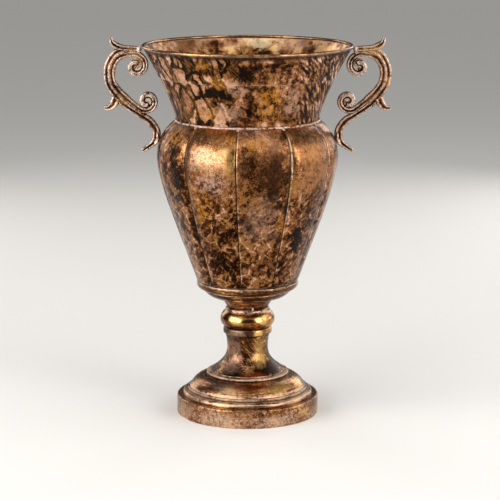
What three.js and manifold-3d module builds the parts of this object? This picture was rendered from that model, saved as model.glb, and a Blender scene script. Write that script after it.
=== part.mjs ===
import * as THREE from 'three';
import { mergeVertices } from 'three/addons/utils/BufferGeometryUtils.js';
import Module from 'manifold-3d';

// A two-handled pedestal flower pot of sheet metal. Millimetres, +Z up, standing on z = 0,
// with the axis of the pot on the Z axis and the handles along X.

// Gaps that the brazed and clamped seats keep
const seatGap = 0.3;
const sheet = 0.9;
const facetsPerLobe = 4;

// Foot plinth: a ledge outside the dome and a seat that reaches in under it
const plinthLedge = 6.3;
const plinthSeat = 8.2;
const plinthHeight = 20.2;
const plinthEdge = 2.5;
const plinthHem = 5;
const footWall = 1.6;

// Foot dome
const domeRadius = 70.2;
const domeHeight = 24.5;
const domeRingHeight = 4.7;
const domeRingInset = 4;
const domeFillet = 1.6;
const domeCrownRadius = 44.2;
const domeCrownBead = 1.7;
const domeCrownHole = 30;
const ovoloRound = 0.32; // share of the way back from the crown to the corner of the ovolo

// Stem
const stemFootRadius = 40.3;
const stemFootLip = 1.4;
const stemWaistRadius = 22.1;
const stemWaistHeight = 26.7;
const stemFlareRadius = 27;
const stemFlareRise = 10.7;
const stemNeckRise = 16.6;
const stemHeight = 49.3;
const stemBandRadius = 26.6;
const stemBandHeight = 6.6;
const stemGroove = 1.6;

// Knop
const knopHeight = 21.3;
const knopSwellRadius = 31.3;
const knopSwellLow = 2.6;
const knopSwellHigh = 11.5;
const knopFootRadius = 25.6;
const knopLipRadius = 23.3;
const knopLipHeight = 3.6;
const knopLipTaper = 1.2;
const knopLipChamfer = 0.8;

// Collar
const collarHeight = 9.9;
const collarTopRadius = 28.4;
const collarFootRadius = 22.9;
const collarChamfer = 1.4;
const collarHollow = 0.7;
const pedestalBore = 12;

// Base cap
const capHeight = 18.6;
const capFloor = 2.4;
const capBeadRadius = 54.8;
const capBeadHeight = 7.8;
const capBeadCurl = 0.4;
const capBeadOverhang = 8.2;
const capStepDepth = 13.6;
const capStepLedge = 2;
const capStepFillet = 0.8;
const capSeatRise = 3;
const capLedge = 0.6;
const capSpigot = 5;

// Body
const lobes = 10;
const firstCrease = THREE.MathUtils.degToRad(10.5);
const bodyRadius = 96.6;
const bellyHeight = 136.3;
const bellyRise = 62;
const bellySlope = 0.365;
const bellyRound = 27;
const shoulderRadius = 45;
const creaseDepth = 3;
const creaseEndDepth = 0.8;

// Neck
const neckFootRadius = 75.2;
const neckSpigot = 5;
const neckHeight = 80;
const kneeRise = 8;
const kneeSpread = 1.2;
const seamRise = 47;
const seamInset = 18.8;
const seamLap = 6;
const flareRise = 9;
const rimRadius = 112.1;
const rimWireRadius = 1.7;

// Handle casting: points in the XZ plane. Heights of the arm, leaf, upper volute and upper half of the band
// are measured from the seat on the rim wire, the rest from the seat on the shoulder. Distances are measured
// out from the chord through both seats, but those of the tail from the shoulder itself. Rows of a reed give
// distance, height and the share of its full width and depth there.
const handleDepth = 9;
const bandWidth = 13;
const armWidth = 6.6;
const spurWidth = 10;
const tailWidth = 8.8;
const armDrop = 3.4;
const seatRise = 13.5;
const bandUpper = [[16.1, -1.9], [27.5, -7.2], [35.2, -16.6], [38.5, -26.3]];
const bandLower = [[38.5, 62], [33.9, 52.6], [24.5, 40.4]];
const leafRows = [
  [0, 0, 0.8, 1], [8.9, 0.6, 0.9, 1], [18.8, 1.4, 0.9, 1],
  [25.4, 3.4, 1.15, 1], [28.8, 6.9, 0.9, 0.75], [29.6, 12.6, 0.22, 0.3],
];
const spurRows = [
  [35.8, 47, 1, 1], [40.7, 39.8, 0.92, 0.9], [45.7, 36.6, 0.55, 0.7], [50.9, 36.4, 0.18, 0.3],
];
const tailRows = [
  [18.6, 28.6, 0.8, 1], [9.4, 22.6, 1, 1], [2.8, 13.6, 1, 1], [1.9, 7.2, 1, 1],
  [3.8, 0.9, 0.9, 1], [10.4, -4.9, 0.66, 0.8], [16.9, -8.9, 0.3, 0.4],
];
const upperVolute = { eye: [8.9, -18.5], radius: 14.4, shrink: 0.76, start: 70, turn: 370, web: 8.4 };
const lowerVolute = { eye: [3.9, 44], radius: 11.3, shrink: 0.81, start: -60, turn: -370, web: 6.6 };
const voluteEndWidth = 3.2;
const voluteWebDepth = 4.6;
const reedRoot = 2;

// Clamping hardware
const rodRadius = 4;
const rodClearance = 0.5;
const rodStandout = 5;
const nutAcrossFlats = 13;
const nutHeight = 6.5;
const washerRadius = 11;
const washerThickness = 1.6;
const clampThickness = 3;

// Heights of the seats, stacked from the ground
const domeZ = plinthHeight + seatGap;
const crownZ = domeZ + domeHeight;
const stemZ = crownZ + seatGap;
const knopZ = stemZ + stemHeight + seatGap;
const collarZ = knopZ + knopHeight + seatGap;
const capZ = collarZ + collarHeight + seatGap;
const capRimZ = capZ + capHeight;
const bodyZ = capRimZ + seatGap;
const widestZ = bodyZ + bellyHeight;

const plinthRadius = domeRadius + plinthLedge;
const rodHole = rodRadius + rodClearance;
const domeCrownCorner = domeCrownRadius - domeCrownBead - footWall;
const capStepRadius = capBeadRadius - capBeadOverhang;
const capSeatRadius = capStepRadius - capStepDepth;
const seamRadius = rimRadius - seamInset;
const clampRadius = (domeCrownHole + domeCrownCorner) / 2;

const facets = lobes * facetsPerLobe;
const lobeAngle = (2 * Math.PI) / lobes;

const point = (radius, height) => new THREE.Vector2(radius, height);

// Moves each point of a line sideways: outwards where the line runs up and the distance is positive.
function offsetLine(line, distance) {
  return line.map((at, i) => {
    const before = line[Math.max(i - 1, 0)];
    const after = line[Math.min(i + 1, line.length - 1)];
    const run = after.clone().sub(before).normalize();
    return point(at.x + run.y * distance, at.y - run.x * distance);
  });
}

// A closed section revolved about the axis, its facets in step with the creases of the body.
function turned(section) {
  const loop = THREE.ShapeUtils.area(section) < 0 ? section.slice().reverse() : section.slice();
  loop.push(loop[0].clone());
  const lathe = new THREE.LatheGeometry(loop, facets, firstCrease + Math.PI / 2);
  return lathe.rotateX(Math.PI / 2);
}

// A section of sheet: a line and the same line moved sideways by the sheet's thickness.
function sheetSection(line, thickness) {
  return [...line, ...offsetLine(line, thickness).reverse()];
}

// A hexagon or round with a bore, standing on the given height.
function bored(outline, boreRadius, height, baseZ) {
  const shape = new THREE.Shape(outline);
  const bore = new THREE.Path();
  bore.absarc(0, 0, boreRadius, 0, 2 * Math.PI, true);
  shape.holes.push(bore);
  const solid = new THREE.ExtrudeGeometry(shape, { depth: height, bevelEnabled: false, curveSegments: 6 });
  return solid.translate(0, 0, baseZ);
}

function ringOutline(radius, sides) {
  return Array.from({ length: sides }, (_, i) => {
    const angle = (2 * Math.PI * i) / sides;
    return point(radius * Math.cos(angle), radius * Math.sin(angle));
  });
}

// Foot

function plinthGeometry() {
  const section = new THREE.Path();
  section.moveTo(plinthRadius - plinthHem, 0);
  section.lineTo(plinthRadius, 0);
  section.lineTo(plinthRadius, plinthHeight - plinthEdge);
  section.absarc(plinthRadius - plinthEdge, plinthHeight - plinthEdge, plinthEdge, 0, Math.PI / 2, false);
  section.lineTo(domeRadius - plinthSeat, plinthHeight);
  section.lineTo(domeRadius - plinthSeat, plinthHeight - footWall);
  section.lineTo(plinthRadius - footWall, plinthHeight - footWall);
  section.lineTo(plinthRadius - footWall, footWall);
  section.lineTo(plinthRadius - plinthHem, footWall);
  return turned(section.getPoints(1));
}

function domeGeometry() {
  const grooveRadius = domeRadius - domeRingInset;
  const grooveZ = domeZ + domeRingHeight;
  const ledgeRadius = grooveRadius - domeFillet;
  const ledgeZ = grooveZ + 2 * domeFillet;
  const beadZ = crownZ - domeCrownBead;
  const ovoloRadius = ledgeRadius - domeFillet;
  const section = new THREE.Path();
  section.moveTo(domeRadius, domeZ);
  section.quadraticCurveTo(domeRadius, grooveZ, grooveRadius, grooveZ);
  section.lineTo(ledgeRadius, grooveZ + domeFillet / 2);
  section.lineTo(ledgeRadius, ledgeZ);
  section.lineTo(ovoloRadius, ledgeZ);
  section.quadraticCurveTo(
    ovoloRadius + (domeCrownRadius - ovoloRadius) * ovoloRound,
    beadZ + (ledgeZ - beadZ) * ovoloRound,
    domeCrownRadius, beadZ,
  );
  section.quadraticCurveTo(domeCrownRadius, crownZ, domeCrownRadius - domeCrownBead, crownZ);
  section.lineTo(domeCrownHole, crownZ);
  section.lineTo(domeCrownHole, crownZ - footWall);
  section.lineTo(domeCrownCorner, crownZ - footWall);
  section.lineTo(ovoloRadius - 2 * footWall, ledgeZ - footWall);
  section.lineTo(ledgeRadius - footWall, grooveZ - footWall);
  section.lineTo(domeRadius - footWall, domeZ);
  return turned(section.getPoints(3));
}

// Pedestal

function stemGeometry() {
  const waistZ = stemZ + stemWaistHeight;
  const topZ = stemZ + stemHeight;
  const bandZ = topZ - stemBandHeight;
  const neckRadius = stemBandRadius - stemGroove;
  const section = new THREE.Path();
  section.moveTo(stemFootRadius, stemZ);
  section.lineTo(stemFootRadius, stemZ + stemFootLip);
  section.bezierCurveTo(
    stemFlareRadius, stemZ + stemFlareRise,
    stemWaistRadius, stemZ + stemNeckRise,
    stemWaistRadius, waistZ,
  );
  section.quadraticCurveTo(stemWaistRadius, (waistZ + bandZ) / 2, neckRadius, bandZ - stemGroove / 2);
  section.lineTo(stemBandRadius, bandZ);
  section.lineTo(stemBandRadius, topZ);
  section.lineTo(pedestalBore, topZ);
  section.lineTo(pedestalBore, waistZ);
  section.lineTo(domeCrownHole, stemZ);
  return turned(section.getPoints(4));
}

function knopGeometry() {
  const topZ = knopZ + knopHeight;
  const lipZ = topZ - knopLipHeight;
  const section = new THREE.Path();
  section.moveTo(knopFootRadius, knopZ);
  section.bezierCurveTo(
    knopSwellRadius, knopZ + knopSwellLow,
    knopSwellRadius, knopZ + knopSwellHigh,
    knopLipRadius + knopLipTaper, lipZ,
  );
  section.lineTo(knopLipRadius, topZ - knopLipChamfer);
  section.lineTo(knopLipRadius - knopLipChamfer, topZ);
  section.lineTo(pedestalBore, topZ);
  section.lineTo(pedestalBore, knopZ);
  return turned(section.getPoints(5));
}

function collarGeometry() {
  const section = [
    point(collarFootRadius - collarChamfer, collarZ),
    point(collarFootRadius, collarZ + collarChamfer),
    point((collarFootRadius + collarTopRadius) / 2 - collarHollow, collarZ + collarHeight / 2),
    point(collarTopRadius, collarZ + collarHeight),
    point(pedestalBore, collarZ + collarHeight),
    point(pedestalBore, collarZ),
  ];
  return turned(section);
}

// Body

const bodyFootRadius = capBeadRadius - capLedge;
const shoulderCentre = bodyRadius - shoulderRadius;
const topLean = (neckFootRadius - shoulderCentre) / shoulderRadius;
const bodyTopRadius = neckFootRadius + seatGap + creaseEndDepth + sheet * topLean;
const shoulderAngle = Math.acos((bodyTopRadius - shoulderCentre) / shoulderRadius);
const jointZ = widestZ + shoulderRadius * Math.sin(shoulderAngle);
const wallCurve = new THREE.CubicBezierCurve(
  point(bodyFootRadius, bodyZ),
  point(bodyFootRadius + bellySlope * bellyRise, bodyZ + bellyRise),
  point(bodyRadius, widestZ - bellyRound),
  point(bodyRadius, widestZ),
);
const shoulderCurve = new THREE.EllipseCurve(
  shoulderCentre, widestZ, shoulderRadius, shoulderRadius, 0, shoulderAngle, false,
);
const wallSteps = 6;
const shoulderSteps = 4;
const meridian = [
  ...wallCurve.getPoints(wallSteps),
  ...shoulderCurve.getPoints(shoulderSteps).slice(1),
];

// How far the crease lies inside the crest at a height.
function creaseAt(height) {
  const share = THREE.MathUtils.clamp((height - bodyZ) / (jointZ - bodyZ), 0, 1);
  return creaseEndDepth + (creaseDepth - creaseEndDepth) * Math.sin(Math.PI * share * share);
}

// A lobe is an arc through its two creases and its crest: the radius at an angle from the crest.
function lobeRadius(crestRadius, depth, fromCrest) {
  const creaseRadius = crestRadius - depth;
  const chordFoot = creaseRadius * Math.cos(lobeAngle / 2);
  const centre = (crestRadius ** 2 - creaseRadius ** 2) / (2 * (crestRadius - chordFoot));
  const arc = crestRadius - centre;
  return centre * Math.cos(fromCrest) + Math.sqrt(arc ** 2 - (centre * Math.sin(fromCrest)) ** 2);
}

// The crest radius of the shoulder at a height, and the widest radius below it.
function crestAt(height) {
  const rise = THREE.MathUtils.clamp(height - widestZ, 0, shoulderRadius);
  return shoulderCentre + Math.sqrt(shoulderRadius ** 2 - rise ** 2);
}

// One gore: an outer and an inner grid of the lobe's surface, joined along their four edges.
function goreGeometry(index) {
  const crestAngle = firstCrease + lobeAngle * (index + 0.5);
  const vertices = [];
  const grid = [meridian, offsetLine(meridian, -sheet)].map((line) =>
    line.map((at) => {
      const depth = creaseAt(at.y);
      const edge = lobeAngle / 2 - Math.asin(seatGap / 2 / (at.x - depth));
      return Array.from({ length: facetsPerLobe + 1 }, (_, i) => {
        const fromCrest = edge * ((2 * i) / facetsPerLobe - 1);
        const radius = lobeRadius(at.x, depth, fromCrest);
        const angle = crestAngle + fromCrest;
        vertices.push(radius * Math.cos(angle), radius * Math.sin(angle), at.y);
        return vertices.length / 3 - 1;
      });
    }),
  );
  const [outer, inner] = grid;
  const triangles = [];
  const quad = (a, b, c, d) => triangles.push(a, b, c, a, c, d);
  const top = meridian.length - 1;
  const side = facetsPerLobe;
  for (let j = 0; j < top; j += 1) {
    for (let i = 0; i < side; i += 1) {
      quad(outer[j][i], outer[j][i + 1], outer[j + 1][i + 1], outer[j + 1][i]);
      quad(inner[j][i], inner[j + 1][i], inner[j + 1][i + 1], inner[j][i + 1]);
    }
    quad(outer[j][0], outer[j + 1][0], inner[j + 1][0], inner[j][0]);
    quad(outer[j][side], inner[j][side], inner[j + 1][side], outer[j + 1][side]);
  }
  for (let i = 0; i < side; i += 1) {
    quad(outer[0][i], inner[0][i], inner[0][i + 1], outer[0][i + 1]);
    quad(outer[top][i], outer[top][i + 1], inner[top][i + 1], inner[top][i]);
  }
  const geometry = new THREE.BufferGeometry();
  geometry.setAttribute('position', new THREE.Float32BufferAttribute(vertices, 3));
  geometry.setIndex(triangles);
  return geometry;
}

function capGeometry() {
  const beadZ = capRimZ - capBeadHeight;
  const floorZ = capZ + capFloor;
  const spigotRadius = bodyFootRadius - sheet - creaseEndDepth - seatGap;
  const spigotBore = spigotRadius - footWall;
  const section = new THREE.Path();
  section.moveTo(rodHole, capZ);
  section.lineTo(capSeatRadius, capZ);
  section.quadraticCurveTo(
    capStepRadius - capStepLedge, capZ + capSeatRise,
    capStepRadius, beadZ - capStepFillet,
  );
  section.lineTo(capStepRadius + capStepLedge, beadZ);
  section.bezierCurveTo(
    capBeadRadius, beadZ,
    capBeadRadius + capBeadCurl, capRimZ - capBeadHeight / 3,
    capBeadRadius - capBeadCurl, capRimZ,
  );
  section.lineTo(spigotRadius, capRimZ);
  section.lineTo(spigotRadius, capRimZ + capSpigot);
  section.lineTo(spigotBore, capRimZ + capSpigot);
  section.lineTo(spigotBore, capRimZ - capBeadHeight / 3);
  section.lineTo(capStepRadius - footWall, beadZ + footWall);
  section.lineTo(capSeatRadius, floorZ);
  section.lineTo(rodHole, floorZ);
  return turned(section.getPoints(3));
}

// Neck

const rimZ = jointZ + neckHeight;
const neckFoot = point(neckFootRadius, jointZ);
const seam = point(seamRadius, jointZ + seamRise);
const coneCurve = new THREE.QuadraticBezierCurve(
  neckFoot, point(neckFootRadius + kneeSpread, jointZ + kneeRise), seam,
);
const lean = coneCurve.getTangent(1);
const leanOut = point(lean.y, -lean.x);
const wireCentre = point(rimRadius - rimWireRadius, rimZ - rimWireRadius);

function coneGeometry() {
  const outerLine = [
    point(neckFootRadius, jointZ - neckSpigot),
    ...coneCurve.getPoints(2),
    seam.clone().addScaledVector(lean, seamLap),
  ];
  return turned(sheetSection(outerLine, -sheet));
}

function flareGeometry() {
  const foot = seam.clone().addScaledVector(leanOut, seatGap);
  const spring = foot.clone().addScaledVector(lean, seamLap + seatGap);
  const knee = spring.clone().addScaledVector(lean, flareRise);
  const toWire = wireCentre.clone().sub(knee).normalize();
  const edge = wireCentre.clone().addScaledVector(toWire, -rimWireRadius - seatGap);
  edge.addScaledVector(point(toWire.y, -toWire.x), -sheet / 2);
  const curve = new THREE.QuadraticBezierCurve(spring, knee, edge);
  return turned(sheetSection([foot, ...curve.getPoints(3)], sheet));
}

function rimGeometry() {
  const wire = new THREE.EllipseCurve(wireCentre.x, wireCentre.y, rimWireRadius, rimWireRadius);
  return turned(wire.getPoints(6).slice(0, -1));
}

// Handle: a fluted band that divides into reeds at both ends, drawn in the XZ plane through the axis

const wasm = await Module();
wasm.setup();

function toSolid(geometry) {
  const bare = new THREE.BufferGeometry();
  bare.setAttribute('position', geometry.getAttribute('position'));
  bare.setIndex(geometry.getIndex());
  const merged = mergeVertices(bare, 1e-4);
  const mesh = new wasm.Mesh({
    numProp: 3,
    vertProperties: new Float32Array(merged.getAttribute('position').array),
    triVerts: new Uint32Array(merged.getIndex().array),
  });
  return new wasm.Manifold(mesh);
}

function fromSolid(solid) {
  const mesh = solid.getMesh();
  const geometry = new THREE.BufferGeometry();
  geometry.setAttribute('position', new THREE.Float32BufferAttribute(mesh.vertProperties, 3));
  geometry.setIndex(new THREE.Uint32BufferAttribute(mesh.triVerts, 1));
  return geometry;
}

// Shares of the width and depth round a section: ridges along both edges with a flute between, front and
// back, and for the band a third ridge along its middle.
const reedSection = [
  [0.5, 0], [0.36, 0.5], [0, 0.36], [-0.36, 0.5],
  [-0.5, 0], [-0.36, -0.5], [0, -0.36], [0.36, -0.5],
];
const bandSection = [
  [0.5, 0], [0.43, 0.5], [0.22, 0.36], [0, 0.5], [-0.22, 0.36], [-0.43, 0.5],
  [-0.5, 0], [-0.43, -0.5], [-0.22, -0.36], [0, -0.5], [0.22, -0.36], [0.43, -0.5],
];

const smoothLine = (points) =>
  new THREE.CatmullRomCurve3(points.map(([x, z]) => new THREE.Vector3(x, 0, z)), false, 'centripetal');

// A section swept along stations of x, z, width and depth.
function sweep(section, stations, steps) {
  const spine = smoothLine(stations);
  const size = new THREE.CatmullRomCurve3(stations.map(([, , w, d]) => new THREE.Vector3(w, d, 0)));
  const vertices = [];
  const triangles = [];
  const ring = section.length;
  for (let k = 0; k <= steps; k += 1) {
    const at = spine.getPoint(k / steps);
    const run = spine.getTangent(k / steps);
    const { x: width, y: depth } = size.getPoint(k / steps);
    for (const [across, through] of section) {
      vertices.push(at.x + run.z * width * across, depth * through, at.z - run.x * width * across);
    }
  }
  for (let k = 0; k < steps; k += 1) {
    for (let i = 0; i < ring; i += 1) {
      const a = k * ring + i;
      const b = k * ring + ((i + 1) % ring);
      triangles.push(a, b, b + ring, a, b + ring, a + ring);
    }
  }
  // The section is star-shaped about the spine, so each end closes as a fan round its middle.
  for (const k of [0, steps]) {
    const at = spine.getPoint(k / steps);
    vertices.push(at.x, 0, at.z);
    const middle = vertices.length / 3 - 1;
    for (let i = 0; i < ring; i += 1) {
      const a = k * ring + i;
      const b = k * ring + ((i + 1) % ring);
      triangles.push(middle, k === 0 ? b : a, k === 0 ? a : b);
    }
  }
  const geometry = new THREE.BufferGeometry();
  geometry.setAttribute('position', new THREE.Float32BufferAttribute(vertices, 3));
  geometry.setIndex(triangles);
  return geometry;
}

// A volute as stations from its outer end to its eye: the spiral shrinks by the same share each quarter turn.
function voluteStations({ radius, shrink, start, turn }, eye, width) {
  const steps = 12;
  return Array.from({ length: steps + 1 }, (_, i) => {
    const swing = (turn * i) / steps;
    const reach = radius * shrink ** Math.abs(swing / 90);
    const angle = THREE.MathUtils.degToRad(start + swing);
    const taper = THREE.MathUtils.lerp(width, voluteEndWidth, i / steps);
    return [eye[0] + reach * Math.cos(angle), eye[1] + reach * Math.sin(angle), taper, handleDepth];
  });
}

// The thin web that fills a volute, its rim just inside the outer turn.
function voluteWeb({ radius, shrink, start, web }, eye) {
  const quarterIn = THREE.MathUtils.degToRad(start) + Math.PI / 2 * Math.sign(start);
  const shift = (radius * shrink - web) / 2;
  const disc = new THREE.CylinderGeometry(web, web, voluteWebDepth, 10);
  return disc.translate(eye[0] + shift * Math.cos(quarterIn), 0, eye[1] + shift * Math.sin(quarterIn));
}

function handleGeometry() {
  const rimSeat = point(rimRadius + seatGap, wireCentre.y - armDrop);
  const seatZ = widestZ + seatRise;
  // The tail lies against the shoulder: its inner edge sets how far out the lower half stands.
  const tailSpine = smoothLine(tailRows);
  const handleFromCrest = lobeAngle / 2 - firstCrease;
  const samples = 40;
  const overhang = Array.from({ length: samples + 1 }, (_, i) => {
    const at = tailSpine.getPoint(i / samples);
    const run = tailSpine.getTangent(i / samples);
    const edgeX = at.x + run.z * tailWidth / 2;
    const edgeZ = seatZ + at.z - run.x * tailWidth / 2;
    return lobeRadius(crestAt(edgeZ), creaseAt(edgeZ), handleFromCrest) - edgeX;
  });
  const seatX = Math.max(...overhang) + seatGap;
  const chordAt = (z) => THREE.MathUtils.mapLinear(z, seatZ, rimSeat.y, seatX, rimSeat.x);
  const fromChord = (baseZ) => ([x, z, ...size]) => [chordAt(baseZ + z) + x, baseZ + z, ...size];
  const upper = fromChord(rimSeat.y);
  const lower = fromChord(seatZ);
  const sized = (width) => ([x, z, w, d]) => [x, z, w * width, d * handleDepth];

  // The band, then the reeds that leave the inner and outer halves of its two ends.
  const bandRows = [...bandUpper.map(upper), ...bandLower.map(lower)];
  const bandLine = smoothLine(bandRows);
  const halfAt = (t, side, back) => {
    const at = bandLine.getPoint(t);
    const run = bandLine.getTangent(t);
    const out = side * bandWidth / 4;
    return [at.x + run.z * out + run.x * back, at.z - run.x * out + run.z * back];
  };
  const reedWidth = bandWidth / 2;
  const root = (t, side, back) => [...halfAt(t, side, back), reedWidth, handleDepth];
  const upperEye = upper(upperVolute.eye);
  const lowerEye = lower(lowerVolute.eye);
  const upperReed = [root(0, 1, reedRoot), ...voluteStations(upperVolute, upperEye, reedWidth)];
  const lowerReed = [root(1, 1, -reedRoot), ...voluteStations(lowerVolute, lowerEye, reedWidth)];
  const tailStations = tailRows.map(([x, z, ...size]) => [seatX + x, seatZ + z, ...size]);
  const tailReed = [root(1, -1, -reedRoot), ...tailStations.map(sized(tailWidth))];

  const pieces = [
    sweep(bandSection, bandRows.map(([x, z]) => [x, z, bandWidth, handleDepth]), 12),
    sweep(reedSection, upperReed, 17),
    sweep(reedSection, lowerReed, 17),
    sweep(reedSection, tailReed, 12),
    sweep(reedSection, leafRows.map(upper).map(sized(armWidth)), 7),
    sweep(reedSection, spurRows.map(lower).map(sized(spurWidth)), 5),
    voluteWeb(upperVolute, upperEye),
    voluteWeb(lowerVolute, lowerEye),
  ];
  return fromSolid(pieces.map(toSolid).reduce((whole, piece) => whole.add(piece)));
}

// Hardware

function rodGeometry() {
  const lowZ = footNutZ - rodStandout;
  const highZ = floorNutZ + nutHeight + rodStandout;
  const rod = new THREE.CylinderGeometry(rodRadius, rodRadius, highZ - lowZ, 16);
  return rod.rotateX(Math.PI / 2).translate(0, 0, (lowZ + highZ) / 2);
}

const washerOutline = ringOutline(washerRadius, 16);
const nutOutline = ringOutline(nutAcrossFlats / Math.sqrt(3), 6);
const clampOutline = ringOutline(clampRadius, 24);
const washerGeometry = (baseZ) => bored(washerOutline, rodHole, washerThickness, baseZ);
const nutGeometry = (baseZ) => bored(nutOutline, rodRadius + seatGap, nutHeight, baseZ);
const floorWasherZ = capZ + capFloor + seatGap;
const floorNutZ = floorWasherZ + washerThickness + seatGap;
const clampZ = crownZ - footWall - seatGap - clampThickness;
const footWasherZ = clampZ - seatGap - washerThickness;
const footNutZ = footWasherZ - seatGap - nutHeight;

// The pot

const pot = new THREE.Group();

function place(name, geometry, colour, roughness, metalness) {
  const material = new THREE.MeshStandardMaterial({ color: colour, roughness, metalness });
  const mesh = new THREE.Mesh(geometry, material);
  mesh.name = name;
  pot.add(mesh);
  return mesh;
}

place('rim_wire', rimGeometry(), 0xa8784a, 0.4, 0.85);
place('neck_flare', flareGeometry(), 0x9a6a44, 0.45, 0.8);
place('neck_cone', coneGeometry(), 0x94643e, 0.45, 0.8);
for (let i = 0; i < lobes; i += 1) {
  const number = String(i + 1).padStart(2, '0');
  place(`body_gore_${number}`, goreGeometry(i), 0x96643a, 0.42, 0.8);
}
place('base_cap', capGeometry(), 0xa87434, 0.38, 0.85);
place('collar', collarGeometry(), 0x8a5c34, 0.45, 0.8);
place('knop', knopGeometry(), 0xa87434, 0.38, 0.85);
place('stem', stemGeometry(), 0x9c6c42, 0.42, 0.8);
place('foot_dome', domeGeometry(), 0xa07048, 0.42, 0.8);
place('foot_plinth', plinthGeometry(), 0x9a6c4a, 0.48, 0.75);
place('handle_right', handleGeometry(), 0x7a5230, 0.45, 0.8);
place('handle_left', handleGeometry(), 0x7a5230, 0.45, 0.8).rotation.z = Math.PI;
place('tie_rod', rodGeometry(), 0x8c8f92, 0.4, 0.9);
place('floor_washer', washerGeometry(floorWasherZ), 0x95989b, 0.4, 0.9);
place('floor_nut', nutGeometry(floorNutZ), 0x85888b, 0.4, 0.9);
place('clamp_plate', bored(clampOutline, rodHole, clampThickness, clampZ), 0x6f6a66, 0.55, 0.8);
place('foot_washer', washerGeometry(footWasherZ), 0x95989b, 0.4, 0.9);
place('foot_nut', nutGeometry(footNutZ), 0x85888b, 0.4, 0.9);

export default pot;
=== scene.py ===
import math

import bmesh
import bpy
import numpy as np
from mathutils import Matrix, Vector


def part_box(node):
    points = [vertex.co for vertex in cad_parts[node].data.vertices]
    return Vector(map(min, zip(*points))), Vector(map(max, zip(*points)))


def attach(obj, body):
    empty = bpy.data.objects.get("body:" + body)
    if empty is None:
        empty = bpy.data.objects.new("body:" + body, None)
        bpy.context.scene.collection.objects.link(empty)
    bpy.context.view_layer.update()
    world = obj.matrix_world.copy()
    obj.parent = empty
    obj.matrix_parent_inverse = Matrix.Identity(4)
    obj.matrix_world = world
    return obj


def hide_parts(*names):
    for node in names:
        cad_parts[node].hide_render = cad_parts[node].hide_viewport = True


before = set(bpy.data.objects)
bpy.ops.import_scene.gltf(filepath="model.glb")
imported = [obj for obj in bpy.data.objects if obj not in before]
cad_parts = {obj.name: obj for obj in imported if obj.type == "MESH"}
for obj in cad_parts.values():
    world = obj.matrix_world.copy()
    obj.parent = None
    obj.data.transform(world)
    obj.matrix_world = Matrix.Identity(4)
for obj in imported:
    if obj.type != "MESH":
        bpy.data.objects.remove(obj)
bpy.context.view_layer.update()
mm = 0.001  # the pot's sizes are written in millimetres, the stage's in metres
seatGap = 0.3
print("frame loaded:", len(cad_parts), "nodes")


class Wire:  # one node socket that takes part in Python expressions
    def __init__(self, tree, socket):
        self.tree = tree
        self.socket = socket

    def add(self, kind, settings=None, sockets=None, out=0):
        node = self.tree.nodes.new(kind)
        for key, value in (settings or {}).items():
            if key == "stops":
                setStops(node.color_ramp, value)
            else:
                setattr(node, key, value)
        for key, value in (sockets or {}).items():
            if isinstance(value, list):
                for wire in value:
                    self.tree.links.new(wire.socket, node.inputs[key])
            elif isinstance(value, Wire):
                self.tree.links.new(value.socket, node.inputs[key])
            else:
                node.inputs[key].default_value = value
        return Wire(self.tree, node.outputs[out])

    def sum(self, operation, first, second=0.0):
        return self.add("ShaderNodeMath", {"operation": operation}, {0: first, 1: second})

    def __add__(self, other):
        return self.sum("ADD", self, other)

    def __radd__(self, other):
        return self.sum("ADD", other, self)

    def __sub__(self, other):
        return self.sum("SUBTRACT", self, other)

    def __rsub__(self, other):
        return self.sum("SUBTRACT", other, self)

    def __mul__(self, other):
        return self.sum("MULTIPLY", self, other)

    def __rmul__(self, other):
        return self.sum("MULTIPLY", other, self)

    def __truediv__(self, other):
        return self.sum("DIVIDE", self, other)

    def __rtruediv__(self, other):
        return self.sum("DIVIDE", other, self)

    def __abs__(self):
        return self.sum("ABSOLUTE", self)

    def least(self, other):
        return self.sum("MINIMUM", self, other)

    def most(self, other):
        return self.sum("MAXIMUM", self, other)

    def root(self):
        return self.sum("SQRT", self)

    def sine(self):
        return self.sum("SINE", self)

    def cosine(self):
        return self.sum("COSINE", self)

    def ease(self, low, high):  # 0 at low, 1 at high
        sockets = {"Value": self, 1: low, 2: high}
        return self.add("ShaderNodeMapRange", {"interpolation_type": "SMOOTHSTEP"}, sockets)

    def mix(self, first, second):  # this socket chooses between two colours
        return self.add("ShaderNodeMix", {"data_type": "RGBA"}, {0: self, 6: first, 7: second}, 2)

    def stretch(self, x, y, z):
        return self.add("ShaderNodeVectorMath", {"operation": "MULTIPLY"}, {0: self, 1: (x, y, z)})

    def shift(self, other):
        return self.add("ShaderNodeVectorMath", {"operation": "ADD"}, {0: self, 1: other})

    def noise(self, size, detail=3.0, rough=0.55, seed=0.0, out="Fac"):
        sockets = {"Vector": self, "W": seed, "Scale": 1 / size, "Detail": detail, "Roughness": rough}
        return self.add("ShaderNodeTexNoise", {"noise_dimensions": "4D"}, sockets, out)

    def cells(self, size, feature="F1", seed=0.0, out="Distance"):
        settings = {"voronoi_dimensions": "4D", "feature": feature}
        return self.add("ShaderNodeTexVoronoi", settings, {"Vector": self, "W": seed, "Scale": 1 / size}, out)

    def part(self, axis):
        return self.add("ShaderNodeSeparateXYZ", None, {0: self}, axis)


def setStops(ramp, stops):
    while len(ramp.elements) < len(stops):
        ramp.elements.new(1.0)
    for element, (share, colour) in zip(ramp.elements, stops):
        element.position = share
        element.color = colour


def tint(red, green, blue):  # a colour as it is seen, 0 to 255
    def linear(value):
        share = value / 255
        return share / 12.92 if share <= 0.04045 else ((share + 0.055) / 1.055) ** 2.4
    return (linear(red), linear(green), linear(blue), 1.0)


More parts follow.
